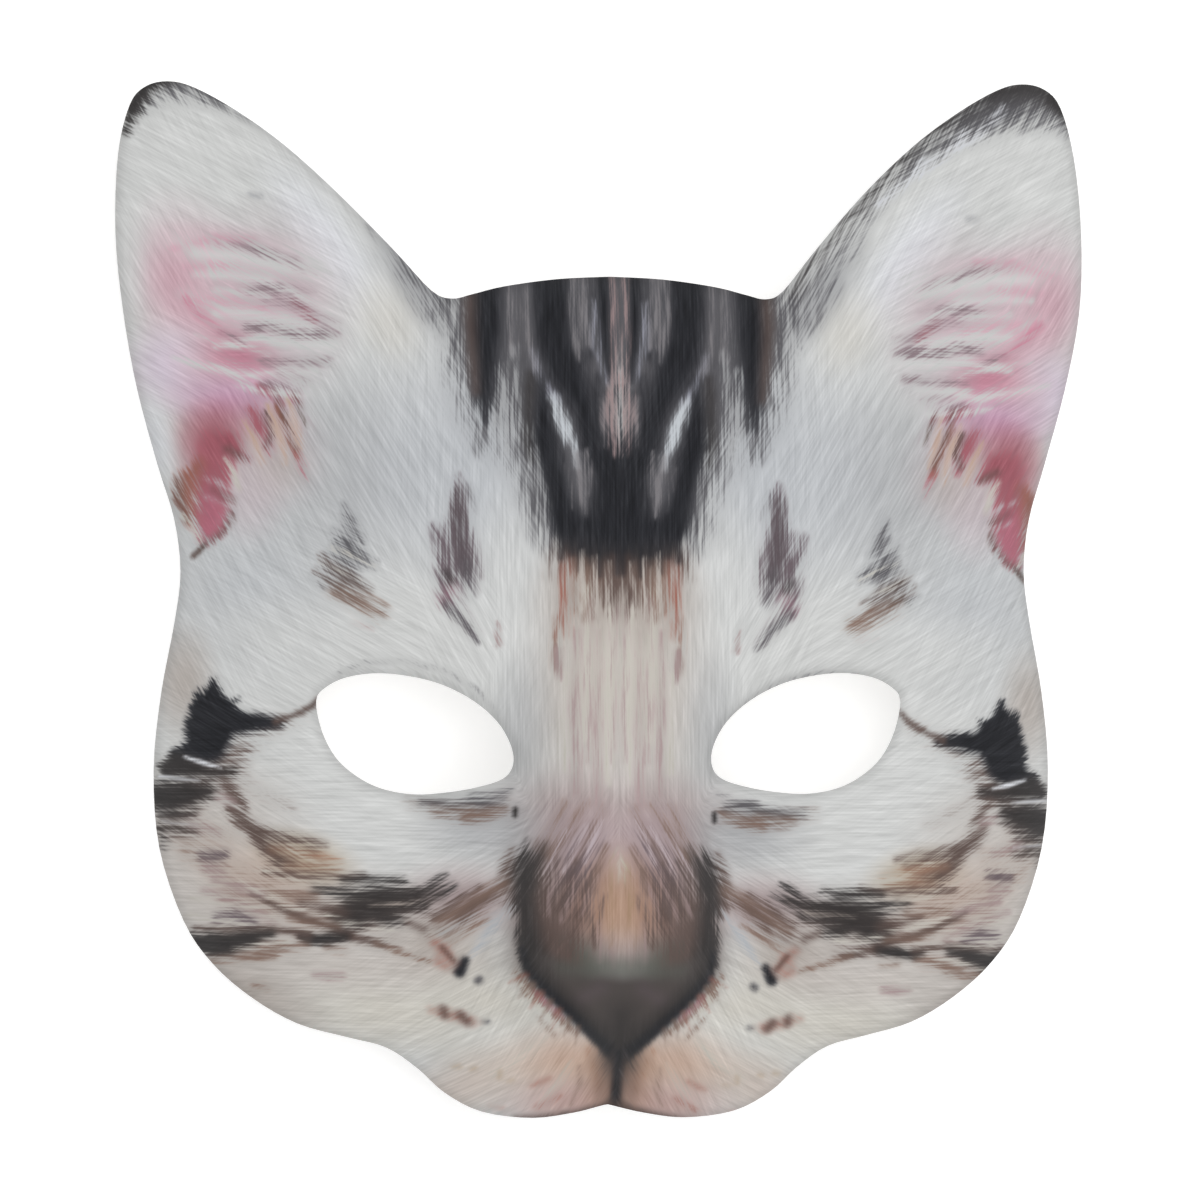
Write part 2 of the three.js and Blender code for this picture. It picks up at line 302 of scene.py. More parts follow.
def pressSheet(sheet, depth):
    flat = readPlaces(sheet.data.vertices)
    store(sheet.data, "flat", "FLOAT_VECTOR", flat)
    store(sheet.data, "depth", "FLOAT", np.full(len(flat), depth))
    places = pressed(flat[:, 0], flat[:, 1], depth)
    places[:, 2] = np.maximum(places[:, 2], 0)  # the rim lies on the floor
    sheet.data.vertices.foreach_set("co", places.ravel())
    sheet.data.update()


# Edges of one die line that have a face on one side only.
def openEdges(data, number):
    ends = np.empty(2 * len(data.edges), np.int32)
    data.edges.foreach_get("vertices", ends)
    loopEdges = np.empty(len(data.loops), np.int32)
    data.loops.foreach_get("edge_index", loopEdges)
    uses = np.bincount(loopEdges, minlength=len(data.edges))
    return (uses == 1) & (lineNumbers(data)[ends.reshape(-1, 2)] == number).all(axis=1)


# One layer of the sheet as a closed shell: two pressed sheets joined along the cut edges.
def pressedLayer(name, values):
    front = cutSheet(name, values["frontStep"])
    pressSheet(front, values["near"])
    back = cutSheet(name + "_back", values["backStep"])
    pressSheet(back, values["far"])
    editSelection(back, "FACE", np.ones(len(back.data.polygons)))
    bpy.ops.mesh.flip_normals()
    bpy.ops.mesh.select_mode(type="VERT")
    bpy.ops.object.mode_set(mode="OBJECT")
    editSelection(back, "VERT", lineNumbers(back.data) == 0)
    bpy.ops.mesh.vertices_smooth(factor=die["relaxFactor"], repeat=values["backRelax"])
    bpy.ops.object.mode_set(mode="OBJECT")
    front.select_set(True)
    back.select_set(True)
    bpy.context.view_layer.objects.active = front
    bpy.ops.object.join()
    for number in range(1, len(dieLines) + 1):
        editSelection(front, "EDGE", openEdges(front.data, number))
        bpy.ops.mesh.bridge_edge_loops()
        bpy.ops.object.mode_set(mode="OBJECT")
    bpy.ops.object.shade_smooth_by_angle(angle=math.radians(values["creaseAngle"]))
    front.data.validate()
    print(name, len(front.data.polygons), "faces")
    return front


# Steps of the two grids and depths of the two faces behind the printed face, in millimetres.
coverSheet = {"frontStep": 0.56, "backStep": 1.8, "near": 0.0, "far": 1.0, "backRelax": 0, "creaseAngle": 50}
foamSheet = {"frontStep": 1.6, "backStep": 1.1, "near": 1.04, "far": 3.3, "backRelax": 4, "creaseAngle": 50}
coverPiece = pressedLayer("printed_cover_cloth", coverSheet)
foamPiece = pressedLayer("foam_shell_sheet", foamSheet)

# Print of a tabby kitten's face. One half is painted and mirrored, in millimetres from the print's
# middle line: u outwards and v towards the ears.
palette = {  # red, green and blue of the screen, 0 to 255
    "furWhite": (202, 203, 202),
    "snow": (213, 215, 220),
    "coolFur": (182, 185, 189),
    "ashFur": (165, 166, 168),
    "warmFur": (188, 180, 174),
    "cream": (199, 195, 186),
    "sand": (166, 156, 149),
    "tan": (164, 142, 114),
    "brown": (122, 99, 88),
    "umber": (86, 70, 65),
    "ink": (30, 31, 36),
    "softInk": (46, 43, 43),
    "slate": (80, 79, 83),
    "pewter": (130, 127, 130),
    "silver": (196, 201, 206),
    "mauve": (94, 82, 88),
    "dusk": (156, 136, 136),
    "haze": (128, 111, 117),
    "paleBlush": (190, 177, 182),
    "blush": (196, 157, 169),
    "rose": (182, 112, 132),
    "lilac": (187, 146, 170),
    "paleLilac": (206, 193, 207),
    "wine": (154, 86, 97),
    "rust": (142, 90, 78),
    "peach": (192, 164, 147),
    "lipPink": (182, 148, 141),
    "leather": (74, 68, 66),
    "amber": (166, 127, 99),
    "hazel": (152, 114, 92),
    "moss": (86, 88, 82),
    "steel": (152, 153, 164),
}
canvas = {
    "step": 0.28,
    "width": 98,
    "bottom": -101,
    "top": 103,
    "bleed": 0.15,
    "hairSoften": 1.5,
    "spotSoften": 1.0,
    "flowSpread": 0.7,
}
printLayers = {  # colour and cover before painting
    "printGround": ("furWhite", 1),
    "printDark": ("slate", 0),
    "printLight": ("snow", 0),
    "printSpots": ("umber", 0),
}

washes = {  # colour, strength, u, v, reach across, reach along, lean in degrees
    "brow": [
        ("coolFur", 0.9, 27, 26, 20, 36, 0),
        ("furWhite", 0.6, 21, 4, 11, 18, 0),
        ("coolFur", 0.85, 43, 24, 24, 28, 0),
        ("ashFur", 0.6, 57, 24, 22, 28, 0),
        ("furWhite", 0.8, 38, -6, 18, 10, 0),
        ("coolFur", 0.7, 70, 2, 26, 26, 0),
        ("furWhite", 0.7, 62, -9, 22, 11, 0),
        ("furWhite", 0.6, 16.5, -14, 7, 20, 0),
    ],
    "ear": [
        ("snow", 0.9, 55, 66, 24, 8, 54),
        ("ashFur", 0.85, 38, 58, 20, 7, 52),
        ("cream", 0.5, 44, 52, 12, 8, 60),
        ("paleBlush", 0.95, 67, 54, 21, 24, 0),
        ("blush", 0.6, 82, 57, 15, 22, -8),
        ("rose", 0.22, 84.4, 59, 8, 11, -10),
        ("blush", 0.34, 66, 55, 14, 13, 0),
        ("blush", 0.6, 78, 51, 10, 7, 30),
        ("blush", 0.3, 74, 66.5, 18, 4, 6),
        ("furWhite", 0.75, 94, 56, 6, 44, 0),
        ("rose", 0.75, 72, 44, 10, 7, 15),
        ("paleLilac", 0.9, 85, 42, 11, 11, 0),
        ("blush", 0.4, 78, 43, 9, 7, 0),
        ("rose", 0.3, 70, 42, 12, 6, 0),
        ("lilac", 0.95, 73, 36, 16, 8, 0),
        ("wine", 0.6, 73, 30, 15, 8, 0),
        ("wine", 0.75, 77, 26, 9, 12, 0),
        ("paleBlush", 0.6, 65, 26, 13, 14, 0),
        ("sand", 0.5, 66, 24, 11, 9, 0),
        ("paleBlush", 0.7, 70, 18, 10, 12, 0),
        ("snow", 0.7, 87, 28, 5, 12, -12),
    ],
    "bridge": [
        ("warmFur", 0.95, 4, -16, 18, 38, 0),
        ("dusk", 0.85, 7, -43, 22, 15, 0),
        ("sand", 0.85, 4, 1, 15, 14, 0),
        # Painted shade: grey beside the eye hole's inner edge.
        ("ashFur", 0.55, 18, -24, 7, 20, 0),
        ("cream", 0.4, 3, -12, 13, 12, 0),
    ],
    "cheek": [
        ("furWhite", 0.9, 44, -44, 30, 13, 4),
        ("sand", 0.7, 81, -18, 8, 14, 0),
        ("warmFur", 0.85, 76, -50, 26, 24, 0),
        ("warmFur", 0.95, 58, -61, 36, 13, 0),
        ("cream", 0.9, 44, -79, 32, 12, 0),
        ("sand", 0.8, 70, -77, 22, 14, 30),
        ("ashFur", 0.85, 24, -44, 18, 9, 0),
        ("dusk", 0.75, 28, -57, 17, 9, 0),
        ("sand", 0.8, 33, -67, 16, 10, 0),
        ("warmFur", 0.7, 52, -71, 30, 8, 0),
        ("tan", 0.6, 58, -50.5, 13, 7, 12),
        ("peach", 0.35, 66, -54, 16, 9, 10),
    ],
    "muzzle": [
        ("cream", 0.9, 24, -79, 18, 16, 0),
        ("peach", 0.95, 9, -87, 17, 10, 0),
        ("lipPink", 0.8, 8, -95.6, 19, 8, 0),
        ("furWhite", 0.5, 24, -83, 13, 8, 0),
        ("peach", 0.4, 27, -92, 22, 9, -25),
        ("hazel", 0.5, 3, -90, 6, 14, 0),
        ("brown", 0.6, 0.6, -91, 4.5, 10, 0),
    ],
    "nose": [
        ("dusk", 0.9, 5, -47, 14, 12, 0),
        ("paleBlush", 0.4, 5, -45, 13, 9, 0),
        ("dusk", 0.9, 8, -58, 15, 16, 0),
        ("hazel", 0.4, 6, -58, 12, 12, 0),
        ("umber", 0.85, 13.5, -65, 10, 13, 0),
        ("amber", 0.6, 0, -57, 9.5, 15, 0),
        ("moss", 0.95, 8, -68, 13, 7, 0),
        ("dusk", 0.4, 1.5, -65, 6, 5, 0),
        ("moss", 0.6, 0, -69, 9, 4, 0),
    ],
}

# Marks: colour, strength, feather, path of (u, v, half width). Soft shades lie under the dark hairs.
shades = [
    ("slate", 0.95, 2.0, [(8, 66, 9.4), (8, 52, 9.4), (9, 44, 8.4), (9, 36, 7.4), (8, 28, 6.8),
                          (7, 20, 5.8), (6, 15, 5)]),
    ("slate", 0.8, 2.2, [(19.6, 66, 4.8), (19.6, 54, 4.4), (19, 46, 3.2), (18.2, 40, 1.8),
                         (17.6, 34, 0.8)]),
    ("slate", 0.75, 2.0, [(26, 64, 3.8), (26.2, 54, 3), (26, 46, 2.2), (25.8, 39, 1)]),
    ("slate", 0.64, 2.6, [(20.6, 46, 2.8), (21, 39, 3), (19.6, 33, 2.2), (17, 26, 1.8), (15, 17, 1.4),
                          (13.8, 10, 0.8)]),
    ("slate", 0.3, 3.0, [(31, 50, 2.4), (31, 42, 2.4), (29, 34, 2.4), (24, 28, 2), (19, 22, 1.4),
                         (16, 12, 1)]),
    ("slate", 0.5, 2.2, [(25.6, 40, 1.8), (25.6, 34, 1.6), (25.8, 28, 0.6)]),
    ("slate", 0.4, 2.2, [(31.4, 58, 1.2), (33.6, 54, 1.2), (36.6, 53, 1.4), (38.8, 56.4, 1.2),
                         (41, 60.4, 0.8)]),
    ("slate", 0.4, 2.4, [(30, 52, 1.6), (30, 45, 1.4), (29, 38, 0.6)]),
    ("umber", 0.66, 2.6, [(0.5, 7.2, 2.6), (5, 7, 2.2), (8.6, 8, 1.4)]),
    ("umber", 0.45, 2.0, [(10.6, 9.6, 1), (12, 7.4, 1.2), (12.8, 4.4, 0.6)]),
    ("umber", 0.58, 2.0, [(1.2, 4.6, 2.4), (1.6, 1, 1.6), (1.6, -2, 0.6)]),
    ("brown", 0.55, 2.0, [(5, 5, 2), (6, 1, 1.4), (6, -2, 0.6)]),
    ("rust", 0.35, 1.2, [(9.6, 7.4, 0.9), (9.7, 0, 1), (10, -6.6, 0.4)]),
    ("brown", 0.35, 1.1, [(11.8, -4, 0.5), (12, -9, 0.8), (11.8, -13, 0.6)]),
    ("mauve", 0.44, 2.0, [(30, 20, 0.6), (29.8, 13, 1.8), (29.4, 8, 2.6), (28.8, 3, 2.2)]),
    ("mauve", 0.42, 2.0, [(33.6, 12, 0.9), (32.8, 5, 1.6), (32.2, 0.4, 1.6), (29.4, -4, 1),
                          (27, -7.4, 0.4)]),
    ("rose", 0.3, 1.6, [(31.6, 1, 0.8), (33, -1, 0.6)]),
    ("slate", 0.36, 2.2, [(50.4, 13, 0.8), (50.6, 8, 2), (52.4, 4, 2.4), (50, 0.6, 1.6)]),
    ("brown", 0.5, 2.0, [(44.4, -3.6, 0.8), (48, -2, 1.2), (53, 0, 1)]),
    ("slate", 0.42, 2.0, [(33, 55.6, 1), (40, 64.6, 1.2), (46, 71.8, 1.2), (52, 79.4, 1.2),
                          (58, 85.8, 1.4), (64, 91.2, 1.8), (70, 95.6, 2.2), (76, 98, 2.6),
                          (82, 99, 2.2)]),
    ("slate", 0.22, 2.4, [(34, 53.6, 1), (38, 59.6, 1.2), (42, 64, 1.2), (47, 68.6, 0.8)]),
    ("umber", 0.3, 2.4, [(56.4, -21.8, 1), (61, -24.6, 1.4), (66, -26.8, 2), (69.6, -30.6, 2),
                         (71, -34, 1.4)]),
    ("umber", 0.46, 2.2, [(70.4, -30, 1.2), (73.4, -32.4, 2.2), (76.4, -36, 2.6), (79, -40, 2.6),
                          (82, -44, 1.6)]),
    ("umber", 0.26, 2.0, [(71.6, -35, 0.8), (68, -37.6, 1.2), (64, -39.4, 1.2), (60, -41, 0.6)]),
    ("umber", 0.42, 2.2, [(20.4, -40, 1.3), (26, -40.8, 1.7), (33, -40.4, 1.3), (38, -39.2, 0.6)]),
    ("umber", 0.3, 2.4, [(28, -59, 0.8), (33, -61, 1), (38, -59.4, 1.8), (45, -60.4, 2.2),
                         (51, -61.6, 1.6)]),
    ("umber", 0.34, 2.0, [(42, -65.4, 0.8), (47, -64.8, 1.4), (52, -64.6, 1)]),
    ("umber", 0.3, 2.0, [(71, -42, 0.8), (66, -46.4, 1.6), (62, -49.4, 2), (57, -52, 1.4),
                         (51, -54, 0.8)]),
    ("brown", 0.34, 2.4, [(58, -56, 1.4), (64, -54.6, 1.6), (72, -53, 1.6), (80, -50, 1.6)]),
    ("brown", 0.34, 2.4, [(56, -62, 1.4), (64, -60, 1.6), (72, -58.4, 1.6)]),
    ("brown", 0.34, 2.0, [(60, -67.6, 1), (67, -67.6, 1.6), (74, -68.2, 2)]),
    ("umber", 0.36, 2.0, [(24, -56, 1), (29, -60, 1.6), (35, -64, 1.2)]),
    ("brown", 0.26, 2.0, [(72, -47, 1.2), (78, -46, 1.6), (84, -46, 1.4)]),
    ("haze", 0.34, 1.4, [(53, 48.5, 0.9), (62, 49, 1.2), (70, 50, 0.8)]),
    ("haze", 0.32, 1.4, [(58, 53, 0.8), (64, 56.6, 1.2), (71, 57.4, 0.7)]),
    ("haze", 0.28, 1.4, [(60, 61, 0.6), (68, 64.6, 1), (76, 65.8, 0.5)]),
    ("haze", 0.28, 1.4, [(55, 43.4, 0.7), (63, 43, 1), (69, 44, 0.4)]),
    ("haze", 0.25, 1.4, [(60, 38.6, 0.6), (66, 38.8, 0.9)]),
    ("slate", 0.42, 2.2, [(57, 84.6, 0.5), (63, 88.6, 1.4), (69.4, 92.2, 2.6), (76, 95.4, 3)]),
    ("softInk", 0.5, 2.0, [(73, 99.4, 1.8), (80, 100.4, 2.4), (86, 98.6, 1.6)]),
    ("mauve", 0.28, 2.2, [(5, -44, 2.4), (8, -48, 4), (9, -53, 4.6)]),
    ("umber", 0.42, 2.4, [(9, -54, 3.4), (10.4, -58, 5), (9.6, -64, 5)]),
    ("umber", 0.7, 2.0, [(14.2, -47, 0.4), (15, -51, 1), (15.4, -56, 1.6), (15, -61, 2.2),
                         (13.6, -66, 2.6), (11, -69, 2.2)]),
    ("softInk", 0.86, 1.5, [(16.4, -48, 0.4), (17.2, -52, 1.1), (17.4, -56, 1.4), (17.2, -60, 1.6),
                            (16.8, -64, 2), (16, -68, 2.2)]),
    # Thin grey line just above the upper lid: partly print, partly painted shade where the lid rolls in.
    ("slate", 0.3, 0.6, [(22, -21.6, 0.3), (26, -17.6, 0.3), (32, -14.2, 0.35), (40, -12.6, 0.4),
                         (47, -13, 0.35), (52, -15.2, 0.3)]),
]

darkHair = {
    "forehead": [
        ("ink", 1.0, 0.9, [(2.9, 63, 0.9), (2.9, 54, 0.9), (2.7, 48, 0.8), (2.2, 44, 0.4),
                           (2, 41.4, 0.1)]),
        ("slate", 0.6, 0.6, [(0, 62, 0.25), (0, 44, 0.2)]),
        ("ink", 0.5, 0.8, [(5.6, 62, 0.3), (5.7, 52, 0.4), (5.4, 46, 0.3)]),
        ("ink", 0.45, 0.8, [(7.8, 58, 0.2), (7.7, 50, 0.4), (7, 45, 0.5)]),
        ("ink", 1.0, 1.5, [(12.8, 64, 3.1), (12.8, 56, 3.1), (12.6, 50, 3.1), (11.7, 46.5, 3.1),
                           (10.2, 43, 3), (8.6, 40, 2.5), (7.3, 37, 2), (6.2, 33, 1.6), (5.6, 29, 1.5),
                           (4.4, 26, 1.8)]),
        ("ink", 1.0, 1.6, [(2, 30, 0.6), (2.2, 26.4, 2), (2.2, 21, 2.8), (2.4, 15, 3)]),
        ("ink", 0.75, 1.5, [(0, 28, 0.6), (0, 22, 1.2), (0, 14, 1.8)]),
        ("ink", 0.6, 0.8, [(4.2, 42, 0.3), (4.4, 36, 0.6), (3.8, 30, 0.6)]),
        ("ink", 0.5, 0.7, [(0.6, 40, 0.1), (0.8, 34, 0.3), (0.6, 29, 0.4)]),
        ("ink", 0.45, 0.7, [(2.6, 39, 0.1), (2.5, 33, 0.3), (2.4, 29, 0.3)]),
        ("ink", 1.0, 1.4, [(14.6, 41.4, 0.2), (14.5, 38, 0.9), (14.4, 34, 1.6), (14, 29.6, 2),
                           (12.9, 25, 1.9), (11.8, 20.6, 1.9), (10.8, 16.6, 2.3), (10, 13.6, 2)]),
        ("softInk", 0.75, 1.0, [(16.8, 42, 0.4), (17, 39, 0.7), (17.2, 35, 0.5), (17.4, 30, 0.4),
                                (16.8, 26, 0.1)]),
        ("slate", 0.6, 1.0, [(15.6, 24, 0.3), (15, 19, 0.4), (14, 14, 0.3)]),
        ("ink", 0.85, 2.4, [(0, 13, 2.4), (5, 13.4, 2.2), (9.4, 14.2, 1.6)]),
        ("softInk", 0.56, 2.2, [(0.6, 8.8, 1.6), (5, 8.6, 1.4), (9.6, 9.6, 1)]),
        ("ink", 0.85, 0.7, [(0.5, 14, 0.7), (0.6, 8, 0.5), (0.6, 5, 0.1)]),
        ("ink", 0.8, 0.7, [(2.3, 14, 0.7), (2.2, 9.6, 0.5), (2.2, 7.4, 0.1)]),
        ("ink", 0.85, 0.7, [(4, 14, 0.7), (3.9, 7.6, 0.4), (3.9, 4.6, 0.1)]),
        ("ink", 0.8, 0.7, [(5.8, 14, 0.7), (5.7, 9.4, 0.5), (5.7, 7, 0.1)]),
        ("ink", 0.8, 0.7, [(7.4, 14, 0.7), (7.5, 8.6, 0.4), (7.5, 5.4, 0.1)]),
        ("ink", 0.75, 0.7, [(9.2, 15, 0.7), (9.2, 10.4, 0.4), (9.2, 8.4, 0.1)]),
        ("ink", 0.7, 0.7, [(10.8, 16, 0.6), (10.9, 11, 0.3), (11, 7.6, 0.1)]),
        ("umber", 0.6, 0.8, [(1.5, 8, 0.4), (1.5, 3, 0.4), (1.5, -2, 0.1)]),
        ("umber", 0.5, 0.8, [(3, 7, 0.3), (3, 2, 0.3), (3, -1, 0.1)]),
        ("umber", 0.5, 0.8, [(5, 7, 0.4), (5, 2, 0.3), (5, -3, 0.1)]),
        ("brown", 0.5, 0.8, [(6.6, 7, 0.4), (6.6, 1, 0.3), (6.6, -4, 0.1)]),
        ("brown", 0.45, 0.8, [(8.3, 7, 0.4), (8.3, 2, 0.3), (8.3, -2, 0.1)]),
        ("ink", 0.95, 1.5, [(24.7, 63, 2.5), (24.8, 55, 2.6), (25, 50, 2.7), (25, 45, 1.9),
                            (25.2, 40, 1.4), (25.4, 36.4, 0.8), (25.4, 33.4, 0.1)]),
        ("umber", 0.72, 1.2, [(28, 60, 0.9), (28.2, 52, 0.9), (27.6, 45, 0.6), (27, 38.6, 0.2)]),
        ("slate", 0.55, 1.0, [(18.8, 61, 0.5), (18.7, 52, 0.6), (18.4, 46, 0.5)]),
        ("slate", 0.55, 1.0, [(21.8, 60, 0.6), (21.9, 52, 0.5), (22.4, 45, 0.3)]),
        ("slate", 0.4, 1.0, [(16.6, 58, 0.3), (16.8, 50, 0.3)]),
        ("slate", 0.42, 1.2, [(30.2, 58, 0.6), (30.3, 51, 0.5), (30, 44, 0.2)]),
        ("slate", 0.36, 1.0, [(32.6, 58, 0.5), (33.2, 53.4, 0.4), (34, 49, 0.1)]),
    ],
    "brow": [
        ("softInk", 0.44, 1.2, [(30.4, 19.4, 0.2), (30.2, 14.4, 0.8), (29.8, 9, 0.9), (29, 5, 0.4)]),
        ("mauve", 0.64, 1.2, [(30.3, 22.6, 0.1), (30.3, 18.6, 0.5), (30.4, 15.6, 0.9), (30.1, 12, 0.9),
                              (29.6, 8.4, 0.8), (29, 5.4, 0.4)]),
        ("mauve", 0.45, 1.0, [(28.8, 13, 0.2), (27.6, 9.4, 0.5), (26.6, 6, 0.4), (26, 4, 0.1)]),
        ("slate", 0.38, 1.3, [(29, 5.6, 0.8), (28.4, 2.6, 0.9), (27.8, 0.2, 0.4)]),
        ("mauve", 0.45, 1.0, [(31.8, 13, 0.3), (31.2, 8.6, 0.6), (31, 5, 0.4)]),
        ("mauve", 0.48, 1.0, [(35.4, 13, 0.1), (34.2, 9.8, 0.5), (33, 7, 0.7), (32.4, 5, 0.5)]),
        ("softInk", 0.54, 0.8, [(32.4, 3.9, 0.5), (31.7, 2.7, 0.6)]),
        ("mauve", 0.38, 1.0, [(34, 4.4, 0.3), (33.6, 1.6, 0.6), (32.4, -1, 0.6)]),
        ("slate", 0.58, 0.9, [(32.6, -1.8, 0.5), (30.4, -3.8, 0.6), (28.6, -5.4, 0.5),
                              (26.4, -8.6, 0.1)]),
        ("slate", 0.32, 0.9, [(28.6, 21, 0.1), (27.8, 18.6, 0.4), (27, 16, 0.1)]),
        ("slate", 0.51, 1.1, [(51.6, 16.6, 0.2), (50.6, 13.6, 0.7), (49.4, 11, 0.5), (48, 9.8, 0.1)]),
        ("slate", 0.38, 0.9, [(54, 11.8, 0.1), (52.4, 10.2, 0.4), (50.6, 9.2, 0.3)]),
        ("slate", 0.61, 1.0, [(53.4, 9.2, 0.2), (51, 8, 0.8), (48.4, 7, 0.6), (45.6, 5.8, 0.1)]),
        ("slate", 0.38, 0.8, [(54.6, 7.4, 0.1), (51, 6, 0.4), (47.6, 4.9, 0.3), (45.6, 4.2, 0.1)]),
        ("umber", 0.54, 1.0, [(56, 6.8, 0.2), (53.6, 4.8, 0.7), (51, 3.1, 0.9), (48.8, 1.8, 0.4),
                              (46.4, 0.8, 0.1)]),
        ("umber", 0.54, 0.9, [(57, 4, 0.2), (54.6, 2.4, 0.6), (52.2, 1, 0.5)]),
        ("slate", 0.38, 0.8, [(58, 2.4, 0.1), (55.6, 0.8, 0.4)]),
        ("brown", 0.51, 1.1, [(52, 0.9, 0.4), (49, -0.6, 0.7), (45.6, -1.9, 0.4), (44, -2.4, 0.1)]),
        ("brown", 0.38, 1.0, [(48, -3.2, 0.2), (46, -4.2, 0.6), (44.2, -4.6, 0.3)]),
        ("dusk", 0.32, 1.0, [(50, -6, 0.1), (46, -6.6, 0.4)]),
    ],
    "bridge": [
        ("rust", 0.5, 1.0, [(10.6, 6, 0.2), (10.8, 1, 0.45), (11.2, -4, 0.35), (11.6, -7, 0.1)]),
        ("dusk", 0.9, 0.8, [(11.3, -9.6, 0.4), (11.3, -12, 0.5), (11, -15, 0.1)]),
        ("dusk", 0.6, 1.0, [(8, -6, 0.2), (8.2, -20, 0.6), (7.8, -36, 0.7)]),
        ("dusk", 0.5, 1.0, [(3.6, -6, 0.2), (3.8, -24, 0.6), (4, -38, 0.8)]),
        ("dusk", 0.45, 0.9, [(5.8, 0, 0.3), (5.8, -14, 0.5), (5.6, -30, 0.3)]),
        ("dusk", 0.5, 0.9, [(1, -2, 0.3), (1.2, -14, 0.4), (1, -30, 0.3)]),
        ("dusk", 0.8, 0.6, [(22.8, -5, 0.2), (22.4, -9, 0.35)]),
        ("brown", 0.45, 1.0, [(2.6, -39, 0.3), (5.4, -44, 0.5), (8, -48.5, 0.4)]),
        ("brown", 0.55, 1.0, [(6.4, -38, 0.3), (9.2, -43, 0.6), (12.6, -48, 0.5)]),
        ("brown", 0.5, 1.0, [(9.8, -38, 0.3), (12, -42.6, 0.5), (14.4, -46.5, 0.5)]),
        ("mauve", 0.4, 1.0, [(5, -46, 0.3), (7, -49, 0.6), (9.6, -52, 0.4)]),
    ],
    "ear": [
        ("softInk", 0.56, 1.8, [(33, 59.4, 0.3), (40, 68.8, 0.4), (46, 75.8, 0.5), (52, 82.8, 0.7),
                                (58, 89, 0.8), (64, 93.8, 1.2), (70, 97.4, 1.8), (76, 100.4, 2.3),
                                (82, 101.4, 2.2), (87, 99, 1.4)]),
        ("slate", 0.5, 2.4, [(68, 94, 0.8), (73, 95.6, 2.2), (79, 96, 3), (85, 95.4, 2.6), (89, 92, 1)]),
        ("softInk", 1.0, 1.6, [(85, 98.4, 0.8), (89.4, 95.6, 1.4), (92, 91.4, 1.3), (93, 87, 0.3)]),
        ("ashFur", 0.8, 0.8, [(67.6, 74.6, 0.4), (69.4, 74.9, 0.3)]),
        ("haze", 0.43, 1.0, [(52.6, 51, 0.2), (55.6, 51.6, 0.6), (58.4, 52, 0.3)]),
        ("haze", 0.56, 0.8, [(53.8, 48.2, 0.2), (56, 48.6, 0.6), (58.6, 48.7, 0.3)]),
        ("haze", 0.75, 0.7, [(55.4, 48.5, 0.2), (57, 48.7, 0.3)]),
        ("haze", 0.56, 0.8, [(59.6, 48.4, 0.3), (62, 48.8, 0.5), (64.6, 49.3, 0.3)]),
        ("haze", 0.6, 0.7, [(61, 48.4, 0.2), (63, 48.8, 0.3)]),
        ("haze", 0.7, 0.8, [(64.4, 50, 0.2), (66, 50.4, 0.4), (68, 50, 0.1)]),
        ("haze", 0.5, 0.8, [(68, 49.4, 0.2), (70, 49.6, 0.4)]),
        ("wine", 0.45, 0.9, [(57.6, 51.4, 0.3), (59.4, 53, 0.6), (61.4, 54.4, 0.3)]),
        ("haze", 0.43, 0.9, [(60, 53.6, 0.3), (63.6, 54.6, 0.5), (67, 54.8, 0.2)]),
        ("haze", 0.7, 0.8, [(64.6, 56.4, 0.2), (66.6, 57.2, 0.5), (69.4, 56.9, 0.3)]),
        ("haze", 0.43, 0.9, [(57.4, 56.6, 0.1), (61, 57.4, 0.4), (64, 58, 0.1)]),
        ("haze", 0.5, 0.9, [(65, 63, 0.2), (67.4, 64.2, 0.6), (70.4, 65.4, 0.4), (73, 65.6, 0.1)]),
        ("haze", 0.31, 0.9, [(57, 60, 0.1), (61, 62.6, 0.4), (65, 64, 0.1)]),
        ("haze", 0.43, 0.9, [(54.6, 43.6, 0.2), (57, 43.6, 0.5), (59.6, 43.2, 0.2)]),
        ("haze", 0.37, 0.9, [(61, 43.6, 0.1), (64, 43, 0.4), (67, 43.4, 0.2)]),
        ("haze", 0.5, 0.8, [(62.6, 38.4, 0.1), (65, 38.7, 0.5), (67, 39, 0.1)]),
        ("haze", 0.37, 0.9, [(58, 39.6, 0.1), (61, 40.4, 0.4), (64, 41, 0.1)]),
        ("haze", 0.6, 0.8, [(70.4, 47, 0.1), (72.6, 48, 0.5), (75, 48.8, 0.2)]),
        ("blush", 0.7, 1.0, [(69, 66.6, 0.2), (77, 66.4, 0.6), (85, 64.2, 0.2)]),
        ("blush", 0.7, 1.0, [(72, 61.4, 0.2), (77, 61.4, 0.6), (82, 61, 0.2)]),
        ("blush", 0.7, 1.0, [(67, 53.4, 0.2), (74, 54.6, 0.7), (81, 55, 0.2)]),
        ("rose", 0.5, 1.0, [(75, 49, 0.2), (79, 52, 0.7), (82, 55, 0.4)]),
        ("wine", 0.8, 1.6, [(75.4, 27, 3.4), (75.8, 23, 3.2), (76.6, 19.6, 3), (76.6, 15.6, 3),
                            (76.8, 12.4, 2.4), (77.6, 9.6, 1)]),
        ("rose", 0.5, 1.5, [(76.2, 17, 1.6), (76, 13.6, 2.2), (76.6, 11, 1.4)]),
        ("rust", 0.7, 1.4, [(79, 23.4, 0.8), (81.2, 20.4, 2), (81.6, 16.6, 1.6), (80.6, 12.6, 0.6)]),
        ("umber", 0.5, 1.0, [(83, 20.6, 0.4), (82.8, 17, 0.6), (81.2, 13, 0.3)]),
        ("umber", 0.4, 1.0, [(72.2, 16.8, 0.4), (74, 17.4, 0.5), (76, 18.6, 0.2)]),
        ("umber", 0.5, 1.0, [(72.4, 14.4, 0.4), (72.8, 12.8, 0.6), (74, 11, 0.3), (76, 9.2, 0.3),
                             (78, 8.2, 0.3)]),
